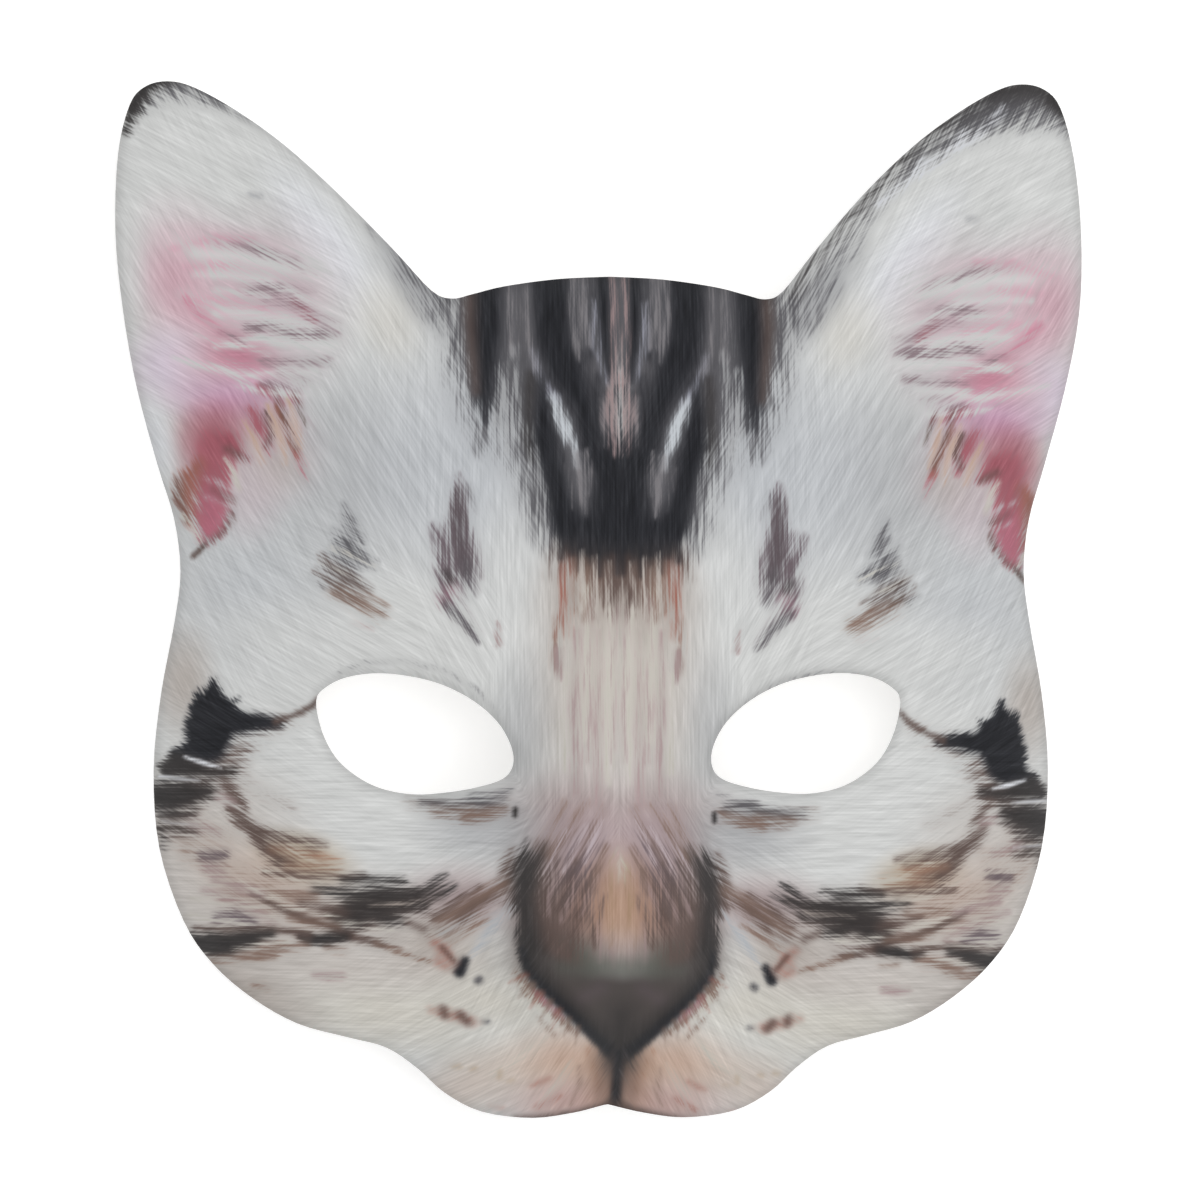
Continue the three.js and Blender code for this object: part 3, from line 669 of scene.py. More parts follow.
        ("wine", 0.45, 1.2, [(68, 37.6, 0.8), (64, 36.6, 0.8), (60.6, 36, 0.4)]),
        ("umber", 0.5, 0.8, [(61, 37.4, 0.1), (60, 34.6, 0.4), (59, 31, 0.1)]),
        ("umber", 0.5, 0.8, [(64.6, 37.6, 0.1), (63.8, 34.8, 0.4), (63, 31.4, 0.1)]),
        ("wine", 0.5, 1.0, [(60.6, 26, 0.3), (59.6, 23.6, 0.5), (58.8, 21, 0.1)]),
        ("wine", 0.8, 1.2, [(69, 34, 0.8), (67.4, 31, 1.3), (66, 28, 0.6), (65.4, 26, 0.1)]),
        ("umber", 0.7, 0.8, [(66.4, 33.4, 0.4), (65, 30, 0.4), (66, 27.4, 0.3)]),
        ("rust", 0.7, 1.0, [(64.2, 34.4, 0.3), (62.8, 31, 0.5), (61.2, 27.6, 0.3), (60.4, 25.6, 0.1)]),
        ("umber", 0.55, 0.8, [(63, 33.4, 0.2), (61.6, 29.4, 0.4), (60.6, 27, 0.1)]),
        ("wine", 0.85, 1.1, [(73, 28.4, 1), (71, 26, 0.6), (69.6, 24.6, 0.1)]),
        ("umber", 0.6, 0.8, [(73.6, 26.6, 0.3), (71.4, 25.4, 0.4), (70, 24.6, 0.1)]),
    ],
    "eye": [
        ("ink", 1.0, 1.1, [(62.6, -25, 0.4), (66, -25, 1.2), (70, -25.2, 2), (73, -24.8, 3.2),
                           (75.4, -24.6, 4.2), (76, -27, 4.4), (76.4, -29, 3.8), (79.4, -30.8, 1.6),
                           (82.4, -31.6, 0.4)]),
        ("ink", 1.0, 1.1, [(75.2, -17.4, 0.2), (75.4, -20, 1.6), (75.4, -22, 2.6)]),
        ("ink", 0.9, 1.0, [(70.8, -21, 0.1), (72.8, -22, 0.7)]),
        ("ink", 0.8, 1.0, [(78.4, -19.4, 0.1), (78, -22, 0.9)]),
        ("softInk", 0.9, 1.0, [(71.4, -34.6, 0.4), (76, -34.9, 0.8), (79.6, -34.2, 1.7),
                               (82, -33.8, 2.2), (84, -34.6, 1.4)]),
        ("softInk", 0.95, 1.6, [(76.4, -38.6, 1), (80, -39.2, 2.3), (83, -39.8, 2.8), (85.4, -40, 2.4)]),
        ("softInk", 0.5, 1.0, [(79, -43.4, 0.3), (84.6, -43.2, 0.8)]),
        ("softInk", 0.55, 1.2, [(78.6, -46.3, 0.3), (82, -46, 0.8), (85, -46, 1), (84.6, -49, 0.8)]),
        ("umber", 0.8, 1.0, [(73.2, -36.6, 0.3), (71.6, -38.4, 0.8), (70, -40.2, 0.5),
                             (69, -41.4, 0.1)]),
        ("dusk", 0.8, 1.0, [(74, -39.6, 0.3), (71.6, -40.6, 0.4)]),
        # Painted shadow under the lower lid's edge.
        ("slate", 0.5, 0.9, [(19.6, -36, 0.3), (22, -37, 0.5), (27, -37.8, 0.3)]),
        ("slate", 0.7, 1.0, [(21, -38.4, 0.2), (25, -38.6, 0.6), (30, -39.2, 0.6), (36, -39.2, 0.2)]),
        ("brown", 0.7, 1.0, [(20.6, -40, 0.2), (24, -41, 0.6), (28, -41.8, 0.4)]),
        ("brown", 0.6, 1.0, [(27, -40.2, 0.3), (31, -40.8, 0.5), (34, -40.6, 0.2)]),
    ],
    "cheek": [
        ("umber", 0.45, 1.4, [(33, -56.2, 0.6), (38, -57.6, 1.4), (43, -58.8, 2), (48, -60, 2.2),
                              (53, -60.4, 1.2)]),
        ("umber", 0.8, 1.1, [(72, -42, 0.4), (70, -43.6, 0.9), (68, -45.2, 0.8), (66, -46, 0.3)]),
        ("umber", 0.55, 1.0, [(67.6, -45.6, 0.4), (63, -45.8, 0.5), (59, -46.4, 0.6), (54, -47.6, 0.3)]),
        ("umber", 0.5, 1.0, [(66, -46.8, 0.4), (61, -47.4, 0.4), (56, -48.6, 0.3)]),
        ("umber", 0.85, 1.2, [(67.2, -47, 0.4), (65, -49, 1), (62.6, -50.8, 1.1), (60.4, -51.6, 0.4)]),
        ("hazel", 0.5, 1.0, [(64, -49, 0.4), (60, -49.4, 0.6), (55, -49.8, 0.4), (51, -50.8, 0.1)]),
        ("hazel", 0.45, 1.0, [(61, -52, 0.4), (56, -52, 0.5), (52, -52.6, 0.3)]),
        ("umber", 0.6, 0.8, [(65.6, -53.4, 0.2), (61, -53.6, 0.5), (56, -53.6, 0.4), (51, -53.8, 0.5),
                             (47, -53.2, 0.3)]),
        ("softInk", 0.85, 1.0, [(39.6, -53.8, 0.3), (43, -54, 0.6), (47, -54, 0.6), (51, -54.4, 0.3)]),
        ("softInk", 0.7, 0.9, [(31.6, -52.8, 0.2), (32.8, -53.4, 0.5), (34.6, -54.2, 0.2)]),
        ("softInk", 0.85, 1.4, [(30.2, -55, 0.3), (32, -55.6, 0.8), (36, -56.4, 1), (40, -56.8, 1.4),
                                (44, -57.2, 1.8), (48, -57.2, 1.3), (52, -56.8, 0.6), (56, -56.2, 0.2)]),
        ("softInk", 0.75, 1.2, [(36, -58.6, 0.4), (40, -59, 0.7), (45, -59.4, 1), (50, -59.4, 0.8)]),
        ("softInk", 0.8, 1.3, [(39.8, -61.8, 0.4), (42.6, -61.4, 1), (45.4, -60.6, 0.8),
                               (48.4, -61.4, 1.5), (51.6, -61.6, 1.2)]),
        ("umber", 0.7, 1.2, [(51, -60.6, 0.7), (54.6, -59.6, 0.9), (58.6, -58.9, 0.3)]),
        ("brown", 0.7, 0.9, [(65, -57, 0.2), (61, -57.6, 0.4), (56, -57.6, 0.3)]),
        ("umber", 0.9, 0.7, [(49.6, -64.8, 0.3), (53, -63.4, 0.4), (58, -62, 0.45), (62.4, -60.4, 0.3),
                             (68, -57.6, 0.1)]),
        ("brown", 0.7, 0.9, [(52, -63, 0.3), (57, -62.6, 0.4), (61, -61.8, 0.2)]),
        ("umber", 0.85, 0.7, [(43.6, -66.5, 0.3), (47, -65.6, 0.5), (50, -64.8, 0.4)]),
        ("brown", 0.7, 0.6, [(35, -69.2, 0.2), (40, -67.8, 0.35), (45, -66.2, 0.3)]),
        ("softInk", 1.0, 0.9, [(50.6, -65, 0.4), (54, -65.6, 0.9), (57.6, -65.8, 0.6),
                               (59, -65.4, 0.2)]),
        ("umber", 0.85, 0.7, [(57.4, -65, 0.4), (61, -64.5, 0.4), (65, -64.3, 0.4), (70, -64.6, 0.4),
                              (79, -65, 0.3)]),
        ("softInk", 0.95, 1.0, [(64.6, -65.2, 0.4), (69, -65.9, 0.7), (73, -66.7, 0.7),
                                (76, -66.2, 0.4)]),
        ("softInk", 1.0, 1.1, [(68, -66.7, 0.3), (71.4, -67.6, 0.8), (75, -67.9, 1.3),
                               (79.4, -67.4, 1.1)]),
        ("softInk", 0.9, 1.0, [(72.4, -69, 0.3), (76, -69, 0.7), (78.6, -68.8, 0.6)]),
        ("brown", 0.7, 0.9, [(58, -66.8, 0.2), (63, -67.6, 0.5), (67, -69, 0.4)]),
        ("brown", 0.6, 0.9, [(64, -69.6, 0.3), (70, -70, 0.5), (76, -71, 0.3)]),
        ("mauve", 0.8, 1.2, [(68, -62.8, 0.3), (71, -61.9, 0.8), (74.6, -62.4, 0.5)]),
        ("mauve", 0.9, 1.0, [(72.8, -50.4, 0.4), (75, -50.9, 0.7), (77.2, -50.9, 0.4)]),
        ("dusk", 0.8, 1.0, [(73.4, -53.6, 0.4), (76.4, -53.2, 0.5)]),
        ("dusk", 0.8, 1.0, [(66, -57.6, 0.3), (70, -56.6, 0.5), (75, -55.4, 0.3)]),
        ("dusk", 0.7, 1.0, [(74, -46.4, 0.3), (79, -44.8, 0.5)]),
        ("dusk", 0.7, 1.0, [(64, -62.6, 0.2), (69, -60, 0.4), (77, -57.6, 0.3)]),
        ("dusk", 0.8, 0.9, [(51.4, -72.6, 0.3), (54, -72.8, 0.5), (56.6, -72.6, 0.3)]),
        ("brown", 0.5, 1.0, [(51, -68, 0.3), (54, -67.6, 0.4)]),
        ("brown", 0.6, 1.0, [(65.6, -75.6, 0.4), (68, -75.3, 0.4)]),
    ],
    "nose": [
        ("softInk", 0.55, 1.0, [(13.8, -45.8, 0.1), (14.6, -48, 0.5), (15.6, -50.6, 0.8),
                                (16.4, -53.6, 0.6)]),
        ("softInk", 0.6, 1.0, [(16.6, -45.4, 0.1), (17.4, -47.6, 0.4), (18.2, -50, 0.8),
                               (18.8, -53, 0.8), (19.2, -55.8, 0.6), (18.6, -58, 0.4)]),
        ("umber", 0.6, 1.2, [(19.4, -47.4, 0.3), (20.4, -50.4, 1), (20.6, -54, 1.2), (20.2, -58, 0.6)]),
        ("umber", 0.4, 0.7, [(4.6, -50, 0.2), (6.8, -54.6, 0.4), (8.4, -59, 0.4)]),
        ("umber", 0.45, 0.7, [(8, -49, 0.2), (10, -53.4, 0.4), (11.6, -58, 0.4)]),
        ("umber", 0.45, 0.7, [(11.2, -48.6, 0.2), (13, -52.6, 0.4), (14, -57, 0.4)]),
        ("umber", 0.5, 0.9, [(2.8, -55, 0.1), (4.6, -59.4, 0.4), (5.6, -64, 0.4)]),
        ("umber", 0.5, 0.9, [(7.4, -58, 0.2), (8.8, -62, 0.5), (9.6, -66, 0.4)]),
        ("brown", 0.6, 0.9, [(2.4, -46, 0.2), (4, -50, 0.5), (5, -54, 0.3)]),
        ("brown", 0.8, 1.3, [(21, -54, 0.5), (25, -56.6, 1), (29, -59.4, 0.8), (33, -61.4, 0.3)]),
        ("umber", 0.5, 1.0, [(22.6, -56.4, 0.3), (26.4, -58.2, 0.6), (29, -60.6, 0.4)]),
        ("umber", 0.6, 0.8, [(25.6, -54.6, 0.2), (28.8, -56.4, 0.4), (31.4, -58.6, 0.4),
                             (34, -60.4, 0.2)]),
        ("brown", 0.5, 1.1, [(24, -60.6, 0.3), (28, -63, 0.7), (31, -65, 0.4)]),
        ("brown", 0.8, 1.0, [(19.4, -70.4, 0.2), (17.8, -72, 0.7), (16, -73.6, 0.7)]),
        ("brown", 0.6, 0.9, [(18.4, -73.6, 0.1), (16.4, -75, 0.5), (14.6, -76, 0.4)]),
        ("wine", 0.6, 0.9, [(15.4, -74, 0.3), (13.4, -75.8, 0.7), (11.2, -77.8, 0.5)]),
        ("brown", 0.8, 1.0, [(13.4, -77.4, 0.1), (11, -79, 0.5), (8.6, -81, 0.4)]),
        ("brown", 0.5, 0.9, [(16, -78, 0.1), (14, -80, 0.4), (12.4, -82, 0.1)]),
        ("hazel", 0.4, 1.2, [(6, -84.4, 0.4), (4.6, -88, 0.8), (3.6, -92, 0.5)]),
        ("brown", 0.45, 1.0, [(2.6, -87.6, 0.4), (2.8, -91, 0.6), (3.4, -94.6, 0.4)]),
        ("brown", 0.45, 0.9, [(7.6, -88, 0.2), (7.4, -91.6, 0.5), (8.6, -95.6, 0.3)]),
        ("rust", 0.45, 1.0, [(11, -94, 0.3), (15, -96.4, 0.4)]),
    ],
}

lightHair = [
    ("furWhite", 0.45, 2.4, [(56, 62, 2), (66, 62, 3.4), (76, 63, 3), (84, 66, 1)]),
    ("furWhite", 0.4, 2.2, [(56, 47, 2), (64, 50, 3.4), (74, 53, 2.4), (82, 56, 0.8)]),
    ("furWhite", 0.35, 2.0, [(58, 38, 1.6), (66, 40, 2.2), (74, 42, 1.4)]),
    ("paleBlush", 0.4, 2.0, [(60, 32, 2), (66, 27, 2.4), (71, 22, 1.6)]),
    ("dusk", 0.7, 0.8, [(1.2, 63, 0.4), (1.2, 52, 0.4), (1.1, 45, 0.4), (0.8, 41, 0.2)]),
    ("dusk", 0.7, 1.2, [(0.4, 42, 0.3), (1.4, 38.6, 0.9), (1.8, 34.6, 1), (1.4, 31, 0.6),
                        (1, 27.6, 0.1)]),
    ("pewter", 0.5, 0.8, [(3.4, 38, 0.2), (3.2, 33, 0.4), (3, 29, 0.1)]),
    ("steel", 0.6, 0.9, [(4.8, 56, 0.2), (4.7, 52, 0.5), (4.2, 47, 0.5), (3.4, 43.4, 0.3),
                         (2.8, 41, 0.1)]),
    ("pewter", 0.45, 1.4, [(0, 64, 1.2), (4.4, 63.4, 1.4), (8, 62, 1)]),
    ("pewter", 0.75, 0.9, [(6.6, 62, 0.5), (6.6, 54, 0.6), (6.4, 48, 0.4)]),
    ("pewter", 0.7, 0.9, [(8.8, 61, 0.4), (8.7, 54, 0.6), (8.4, 49, 0.4), (7.6, 45, 0.1)]),
    ("pewter", 0.6, 0.9, [(17.6, 62, 0.3), (17.6, 53, 0.5), (17, 47, 0.5), (16, 43.6, 0.3)]),
    ("pewter", 0.6, 0.9, [(20.4, 62, 0.4), (20.4, 53, 0.6), (20, 46, 0.6)]),
    ("ashFur", 0.6, 1.0, [(19.8, 47, 0.2), (19.8, 42, 0.5), (20.4, 37, 0.7), (21, 31, 0.5),
                          (21, 27, 0.2)]),
    ("ashFur", 0.7, 0.9, [(22.2, 44, 0.2), (22.4, 38, 0.5), (23, 32, 0.3)]),
    ("steel", 0.55, 0.9, [(16.2, 46.4, 0.2), (15.4, 42.6, 0.5), (13.8, 39.8, 0.5), (12.2, 37.4, 0.6)]),
    ("silver", 0.85, 1.0, [(12.6, 37.6, 0.4), (11.6, 35, 1), (10.4, 32, 1.1), (9.4, 29.4, 0.8),
                           (8.6, 27, 0.3), (8.2, 25, 0.1)]),
    ("pewter", 0.8, 0.8, [(8, 27, 0.4), (7.6, 23, 0.6), (7, 18.6, 0.4), (6.8, 16, 0.1)]),
    ("pewter", 0.6, 0.7, [(6, 28, 0.2), (5.8, 24, 0.4), (5.8, 20, 0.1)]),
    ("pewter", 0.5, 0.7, [(10.2, 25, 0.1), (9.6, 21, 0.3), (9, 17, 0.1)]),
    ("ashFur", 0.6, 0.9, [(16.4, 28, 0.1), (15.4, 22, 0.4), (14.2, 15, 0.3), (13.4, 10, 0.1)]),
    ("warmFur", 0.7, 0.7, [(2.2, 7, 0.1), (2.2, 3, 0.4), (2.3, -2, 0.3)]),
    ("warmFur", 0.75, 0.7, [(4.7, 8, 0.1), (4.7, 3, 0.5), (4.8, -3, 0.4)]),
    ("warmFur", 0.7, 0.7, [(7.2, 9, 0.1), (7.2, 3.6, 0.4), (7.2, -2, 0.3)]),
    ("cream", 0.7, 1.0, [(2, -2, 0.3), (1.8, -18, 0.7), (2, -34, 0.4)]),
    ("cream", 0.6, 1.0, [(6.4, 2, 0.3), (6.2, -10, 0.6), (6.2, -26, 0.5)]),
    ("cream", 0.6, 1.0, [(10, -14, 0.4), (10, -32, 0.5)]),
    ("cream", 0.5, 0.7, [(54, 8.4, 0.1), (50, 6.9, 0.3), (46, 5, 0.1)]),
    ("cream", 0.5, 0.7, [(56, 5.6, 0.1), (52, 3.8, 0.3), (48, 2.6, 0.1)]),
    ("snow", 0.65, 1.2, [(50, 76.6, 0.2), (54.6, 80.6, 0.6), (59, 85.6, 0.4)]),
    ("snow", 0.65, 1.2, [(58, 82.6, 0.2), (62.6, 86.4, 0.6), (67, 91.4, 0.4)]),
    ("snow", 0.65, 1.2, [(66, 88.4, 0.2), (71, 92, 0.6), (75, 96.4, 0.4)]),
    ("furWhite", 0.8, 0.9, [(54, 53, 0.1), (60, 55.4, 0.4), (66, 58.6, 0.5), (74, 59.6, 0.3),
                            (80, 59.6, 0.1)]),
    ("furWhite", 0.8, 0.9, [(53, 46.6, 0.1), (60, 46.6, 0.5), (67, 47.4, 0.5), (76, 46, 0.1)]),
    ("furWhite", 0.75, 0.9, [(58, 50, 0.1), (63, 51.4, 0.5), (70, 52.4, 0.4), (76, 52.4, 0.1)]),
    ("furWhite", 0.75, 0.9, [(57, 59.4, 0.1), (64, 61.4, 0.5), (72, 63.4, 0.4), (80, 63.6, 0.1)]),
    ("furWhite", 0.6, 0.9, [(66, 55.6, 0.1), (71, 56.4, 0.4), (76, 56.8, 0.1)]),
    ("furWhite", 0.8, 0.9, [(57, 41.6, 0.1), (64, 41.6, 0.4), (70, 40.4, 0.5), (77, 42, 0.4),
                            (84, 43.6, 0.1)]),
    ("furWhite", 0.7, 0.8, [(59, 37, 0.1), (65, 37.4, 0.4), (72, 38.6, 0.1)]),
    ("furWhite", 0.6, 0.8, [(66, 44.6, 0.1), (72, 46.4, 0.3), (80, 48, 0.1)]),
    ("peach", 0.85, 0.8, [(66, 35, 0.1), (64.4, 31, 0.4), (63, 26.4, 0.2), (62.6, 24, 0.1)]),
    ("peach", 0.8, 0.8, [(70.6, 32, 0.1), (68.4, 28, 0.4), (67, 24, 0.1)]),
    ("peach", 0.75, 0.8, [(62.2, 36, 0.1), (61, 31, 0.4), (59.8, 27, 0.1)]),
    ("cream", 0.8, 0.8, [(74, 24.6, 0.1), (72.4, 22.4, 0.5), (71.4, 19, 0.2)]),
    ("paleBlush", 0.5, 0.8, [(71, 18.4, 0.1), (74.4, 19.8, 0.3), (77.8, 21, 0.1)]),
    ("paleBlush", 0.5, 0.8, [(71.6, 15.6, 0.1), (74.4, 16, 0.3), (77.4, 17.4, 0.1)]),
    ("cream", 0.75, 0.7, [(78.4, 9, 0.1), (80, 11, 0.3), (81.8, 14, 0.1)]),
    ("sand", 0.5, 0.8, [(36, -58, 0.1), (41, -58.4, 0.3), (46, -58.6, 0.1)]),
    ("cream", 0.6, 0.8, [(42, -63.2, 0.2), (48, -63, 0.4), (54, -61, 0.1)]),
    ("cream", 0.6, 0.9, [(56, -60.8, 0.1), (62, -59.2, 0.4), (70, -55.6, 0.1)]),
    ("cream", 0.55, 0.9, [(55, -55, 0.1), (60, -54.6, 0.3), (67, -52.4, 0.1)]),
    ("cream", 0.5, 0.9, [(50, -51.8, 0.1), (56, -50.8, 0.3), (61, -48.4, 0.1)]),
    ("cream", 0.5, 0.8, [(61, -66.4, 0.1), (67, -67.2, 0.3), (72, -68.6, 0.1)]),
    ("cream", 0.55, 1.0, [(64, -61.4, 0.2), (71, -59.4, 0.4), (79, -59.2, 0.2)]),
    ("cream", 0.5, 1.0, [(66, -63.6, 0.1), (73, -63.6, 0.4), (80, -62.4, 0.2)]),
    ("coolFur", 0.8, 1.2, [(19.6, -58, 0.2), (22.6, -61, 0.7), (25, -65, 0.5), (27, -68, 0.1)]),
    ("ashFur", 0.5, 0.8, [(26, -60, 0.1), (30, -62.6, 0.4), (33, -64, 0.1)]),
    ("tan", 0.35, 1.0, [(1.4, -48, 0.2), (1.8, -55, 0.5), (1.8, -64, 0.3)]),
    ("dusk", 0.4, 0.8, [(1.6, -62, 0.2), (1.6, -65.6, 0.4), (1.6, -68.4, 0.1)]),
    ("dusk", 0.5, 0.8, [(4, -60, 0.1), (4.2, -64, 0.3), (4.2, -67.4, 0.1)]),
    ("paleBlush", 0.6, 0.6, [(3, -41, 0.1), (5, -45, 0.3), (6.6, -49, 0.1)]),
    ("paleBlush", 0.6, 0.6, [(6, -42, 0.1), (8.4, -46.4, 0.3), (10.4, -51, 0.1)]),
    ("paleBlush", 0.5, 0.6, [(9.4, -43, 0.1), (11.6, -47, 0.3), (13.4, -51.4, 0.1)]),
    ("cream", 0.5, 1.2, [(0, -46.4, 0.3), (0, -49.4, 0.9), (0, -52, 0.2)]),
    ("dusk", 0.5, 0.6, [(4, -51, 0.1), (6, -55, 0.3), (7.4, -59, 0.1)]),
    ("dusk", 0.5, 0.6, [(7.6, -52, 0.1), (9.6, -56, 0.3), (11, -60, 0.1)]),
    ("dusk", 0.45, 0.6, [(11.4, -52, 0.1), (12.8, -55.6, 0.3), (13.6, -59.4, 0.1)]),
    ("cream", 0.5, 1.0, [(9, -87, 0.2), (11, -91, 0.6), (15, -95, 0.3)]),
    ("cream", 0.5, 1.0, [(14, -82, 0.3), (18, -86, 0.7), (24, -90, 0.3)]),
    ("cream", 0.7, 0.6, [(17.6, -74.4, 0.1), (15.4, -76.4, 0.3), (13, -79, 0.1)]),
    ("cream", 0.6, 0.6, [(19.6, -72, 0.1), (17.6, -73.2, 0.25), (16, -74.8, 0.1)]),
]

# Marks with few hairs across them: the nose, the mouth, whisker roots and single hairs.
spots = [
    ("leather", 1.0, 2.6, [(0, -73.6, 3.2), (6, -73, 3), (11, -71, 2.6), (14.6, -68.6, 2)]),
    ("leather", 1.0, 1.0, [(0, -77, 4), (5, -76, 3.2), (9, -73.6, 2.6)]),
    ("leather", 1.0, 0.9, [(0, -81.4, 2.8), (3, -79.4, 2)]),
    ("mauve", 0.45, 2.2, [(4, -72.6, 0.8), (7.6, -74.6, 0.8)]),
    ("moss", 0.5, 2.0, [(6, -69.4, 0.8), (11, -69, 1)]),
    ("softInk", 0.85, 4.6, [(0, -78, 1.2), (0, -86, 3)]),
    ("softInk", 0.95, 2.4, [(17.4, -64, 0.6), (17, -67.6, 1), (15, -71, 1.2), (12, -74, 1.2),
                            (8.6, -77.2, 1.2), (4.8, -80.8, 1.2), (1.4, -84, 1.2)]),
    ("ink", 0.85, 1.1, [(18, -66, 0.2), (17.2, -69.8, 0.4), (13.4, -73.8, 0.5), (9.8, -77.2, 0.6),
                        (6.2, -80.8, 0.6), (3, -83.7, 0.7), (0, -86.4, 0.9)]),
    ("brown", 0.8, 1.6, [(0, -86, 0.8), (0, -92, 1.4), (0, -97, 1.4)]),
    ("ink", 0.95, 0.9, [(0, -85.4, 0.8), (0, -90, 0.6), (0, -97, 0.7)]),
    # Painted shade along the muzzle's lower edge, where it curves under.
    ("umber", 0.9, 1.6, [(0, -96.2, 0.9), (7, -97.8, 0.8), (13, -98.8, 0.7), (19, -99, 0.3)]),
    ("rust", 0.55, 0.6, [(17.4, -70.6, 0.3), (20.6, -72.4, 0.05)]),
    ("brown", 0.6, 0.6, [(16.2, -72.2, 0.3), (19, -75, 0.05)]),
    ("rust", 0.55, 0.6, [(14.8, -73.8, 0.3), (17, -77, 0.05)]),
    ("brown", 0.6, 0.6, [(13.2, -75.2, 0.3), (15, -78.6, 0.05)]),
    ("rust", 0.5, 0.6, [(11.6, -76.8, 0.3), (13, -80.4, 0.05)]),
    ("brown", 0.55, 0.6, [(9.8, -78.4, 0.3), (10.8, -82, 0.05)]),
    ("brown", 0.5, 0.6, [(8, -80, 0.3), (8.6, -83.6, 0.05)]),
    ("ink", 0.95, 1.2, [(28.4, -68.7, 0.6), (29.5, -71, 0.9)]),
    ("slate", 0.9, 1.1, [(25.8, -72.2, 0.5), (26.2, -72.5, 0.5)]),
    ("rust", 0.55, 1.6, [(30.6, -69, 0.6), (32.4, -66.8, 1.2), (34, -65.6, 0.8)]),
    ("umber", 0.6, 0.7, [(30.6, -68.8, 0.3), (32.6, -66.4, 0.3)]),
    ("rust", 0.5, 1.5, [(32, -70.2, 0.7), (33.6, -69.2, 0.8)]),
    ("umber", 0.6, 1.3, [(36, -63.1, 0.7), (38.8, -61.9, 0.8)]),
    ("slate", 0.6, 0.9, [(24.6, -79.9, 0.4), (25.2, -80, 0.4)]),
    ("rust", 0.5, 1.6, [(27.4, -80, 0.9), (31, -79.2, 1), (35, -78.4, 0.6)]),
    ("umber", 0.65, 1.2, [(28.4, -80.2, 0.6), (29.5, -79, 0.7)]),
    ("umber", 0.65, 1.2, [(32.5, -79.2, 0.6), (32.7, -78, 0.6)]),
    ("rust", 0.45, 1.2, [(13.2, -90.4, 0.5), (15, -91.4, 0.7), (16.4, -92, 0.4)]),
    ("tan", 0.5, 1.0, [(22.4, -89.4, 0.4), (22.6, -90.6, 0.4)]),
    ("tan", 0.4, 1.0, [(20, -91, 0.4), (20.8, -91.2, 0.4)]),
    ("tan", 0.5, 1.0, [(27, -89, 0.4), (27.6, -89.2, 0.4)]),
    ("tan", 0.5, 1.0, [(30, -88.8, 0.5), (31, -89, 0.4)]),
    ("rust", 0.35, 1.2, [(21.6, -96.8, 0.5), (24, -96.4, 0.4)]),
    ("umber", 0.8, 1.0, [(54.8, -19.6, 0.2), (56.6, -21.6, 0.55), (58.6, -22.8, 0.55), (61, -23.9, 0.4),
                         (63.4, -24.8, 0.6)]),
    ("softInk", 0.9, 0.7, [(18.7, -39.8, 0.4), (18.8, -40.9, 0.4)]),
    ("snow", 0.95, 0.45, [(73.6, -34, 0.05), (77, -33.2, 0.3), (80.6, -32.2, 0.1)]),
    ("snow", 0.8, 0.45, [(77.6, -36.7, 0.05), (81, -36.4, 0.2), (85.4, -36.2, 0.2)]),
    ("snow", 0.7, 0.45, [(78, -45.2, 0.05), (84.6, -44.8, 0.15)]),
    ("umber", 0.8, 0.8, [(77.8, 8, 0.3), (78.8, 7, 0.5), (79.8, 6, 0.4)]),
]

hairFlow = [  # u, v, direction in degrees, reach
    (5, 50, 90, 14), (14, 30, 78, 12), (5, 15, 90, 12), (22, 50, 90, 10), (24, 25, 84, 12),
    (33, 45, 80, 10), (42, 55, 62, 10), (52, 70, 52, 12), (66, 90, 46, 10), (80, 97, 50, 8),
    (74, 80, 35, 12), (62, 60, 22, 10), (64, 48, 8, 9), (84, 60, 65, 8), (82, 45, 30, 8),
    (66, 31, 68, 8), (77, 20, 60, 9), (45, 30, 66, 14), (58, 14, 52, 12), (72, 6, 50, 12),
    (30, 12, 84, 7), (31, -3, 60, 5), (42, 12, 68, 8), (51, 6, 32, 8), (46, -4, 18, 7), (5, -5, 90, 12),
    (5, -28, 90, 12), (16, -15, 95, 8), (28, -10, 50, 6), (60, -8, 38, 14), (74, -20, 60, 7),
    (76, -27, 20, 6), (78, -34, 8, 8), (66, -30, 8, 9), (50, -44, 4, 12), (26, -40, -4, 8),
    (66, -47, 30, 8), (44, -58, -6, 10), (72, -56, 10, 10), (60, -66, -2, 10), (76, -68, -10, 8),
    (46, -76, -8, 14), (27, -56, -30, 8), (30, -66, -40, 8), (22, -78, -50, 9), (10, -90, -60, 8),
    (30, -90, -30, 10), (5, -42, -62, 6), (11, -46, -62, 6), (14, -56, -78, 5), (3, -58, 88, 6),
    (9, -60, -72, 6), (17.5, -60, 92, 4),
]
bareSkin = [(3, -75, 90, 6), (9, -72, 90, 5)]  # the nose, with no fur

columns = int(canvas["width"] / canvas["step"])
rows = int((canvas["top"] - canvas["bottom"]) / canvas["step"])
gridU, gridV = np.meshgrid((np.arange(columns) + 0.5) * canvas["step"],
                           canvas["bottom"] + (np.arange(rows) + 0.5) * canvas["step"])


def tint(name):
    return np.array(palette[name]) / 255


def look(picture, u, v):
    column = np.clip(u / canvas["step"] - 0.5, 0, columns - 1.001)
    row = np.clip((v - canvas["bottom"]) / canvas["step"] - 0.5, 0, rows - 1.001)
    i, j = row.astype(int), column.astype(int)
    a, b = (row - i)[..., None], (column - j)[..., None]
    upper = picture[i, j] * (1 - b) + picture[i, j + 1] * b
    lower = picture[i + 1, j] * (1 - b) + picture[i + 1, j + 1] * b
    return upper * (1 - a) + lower * a


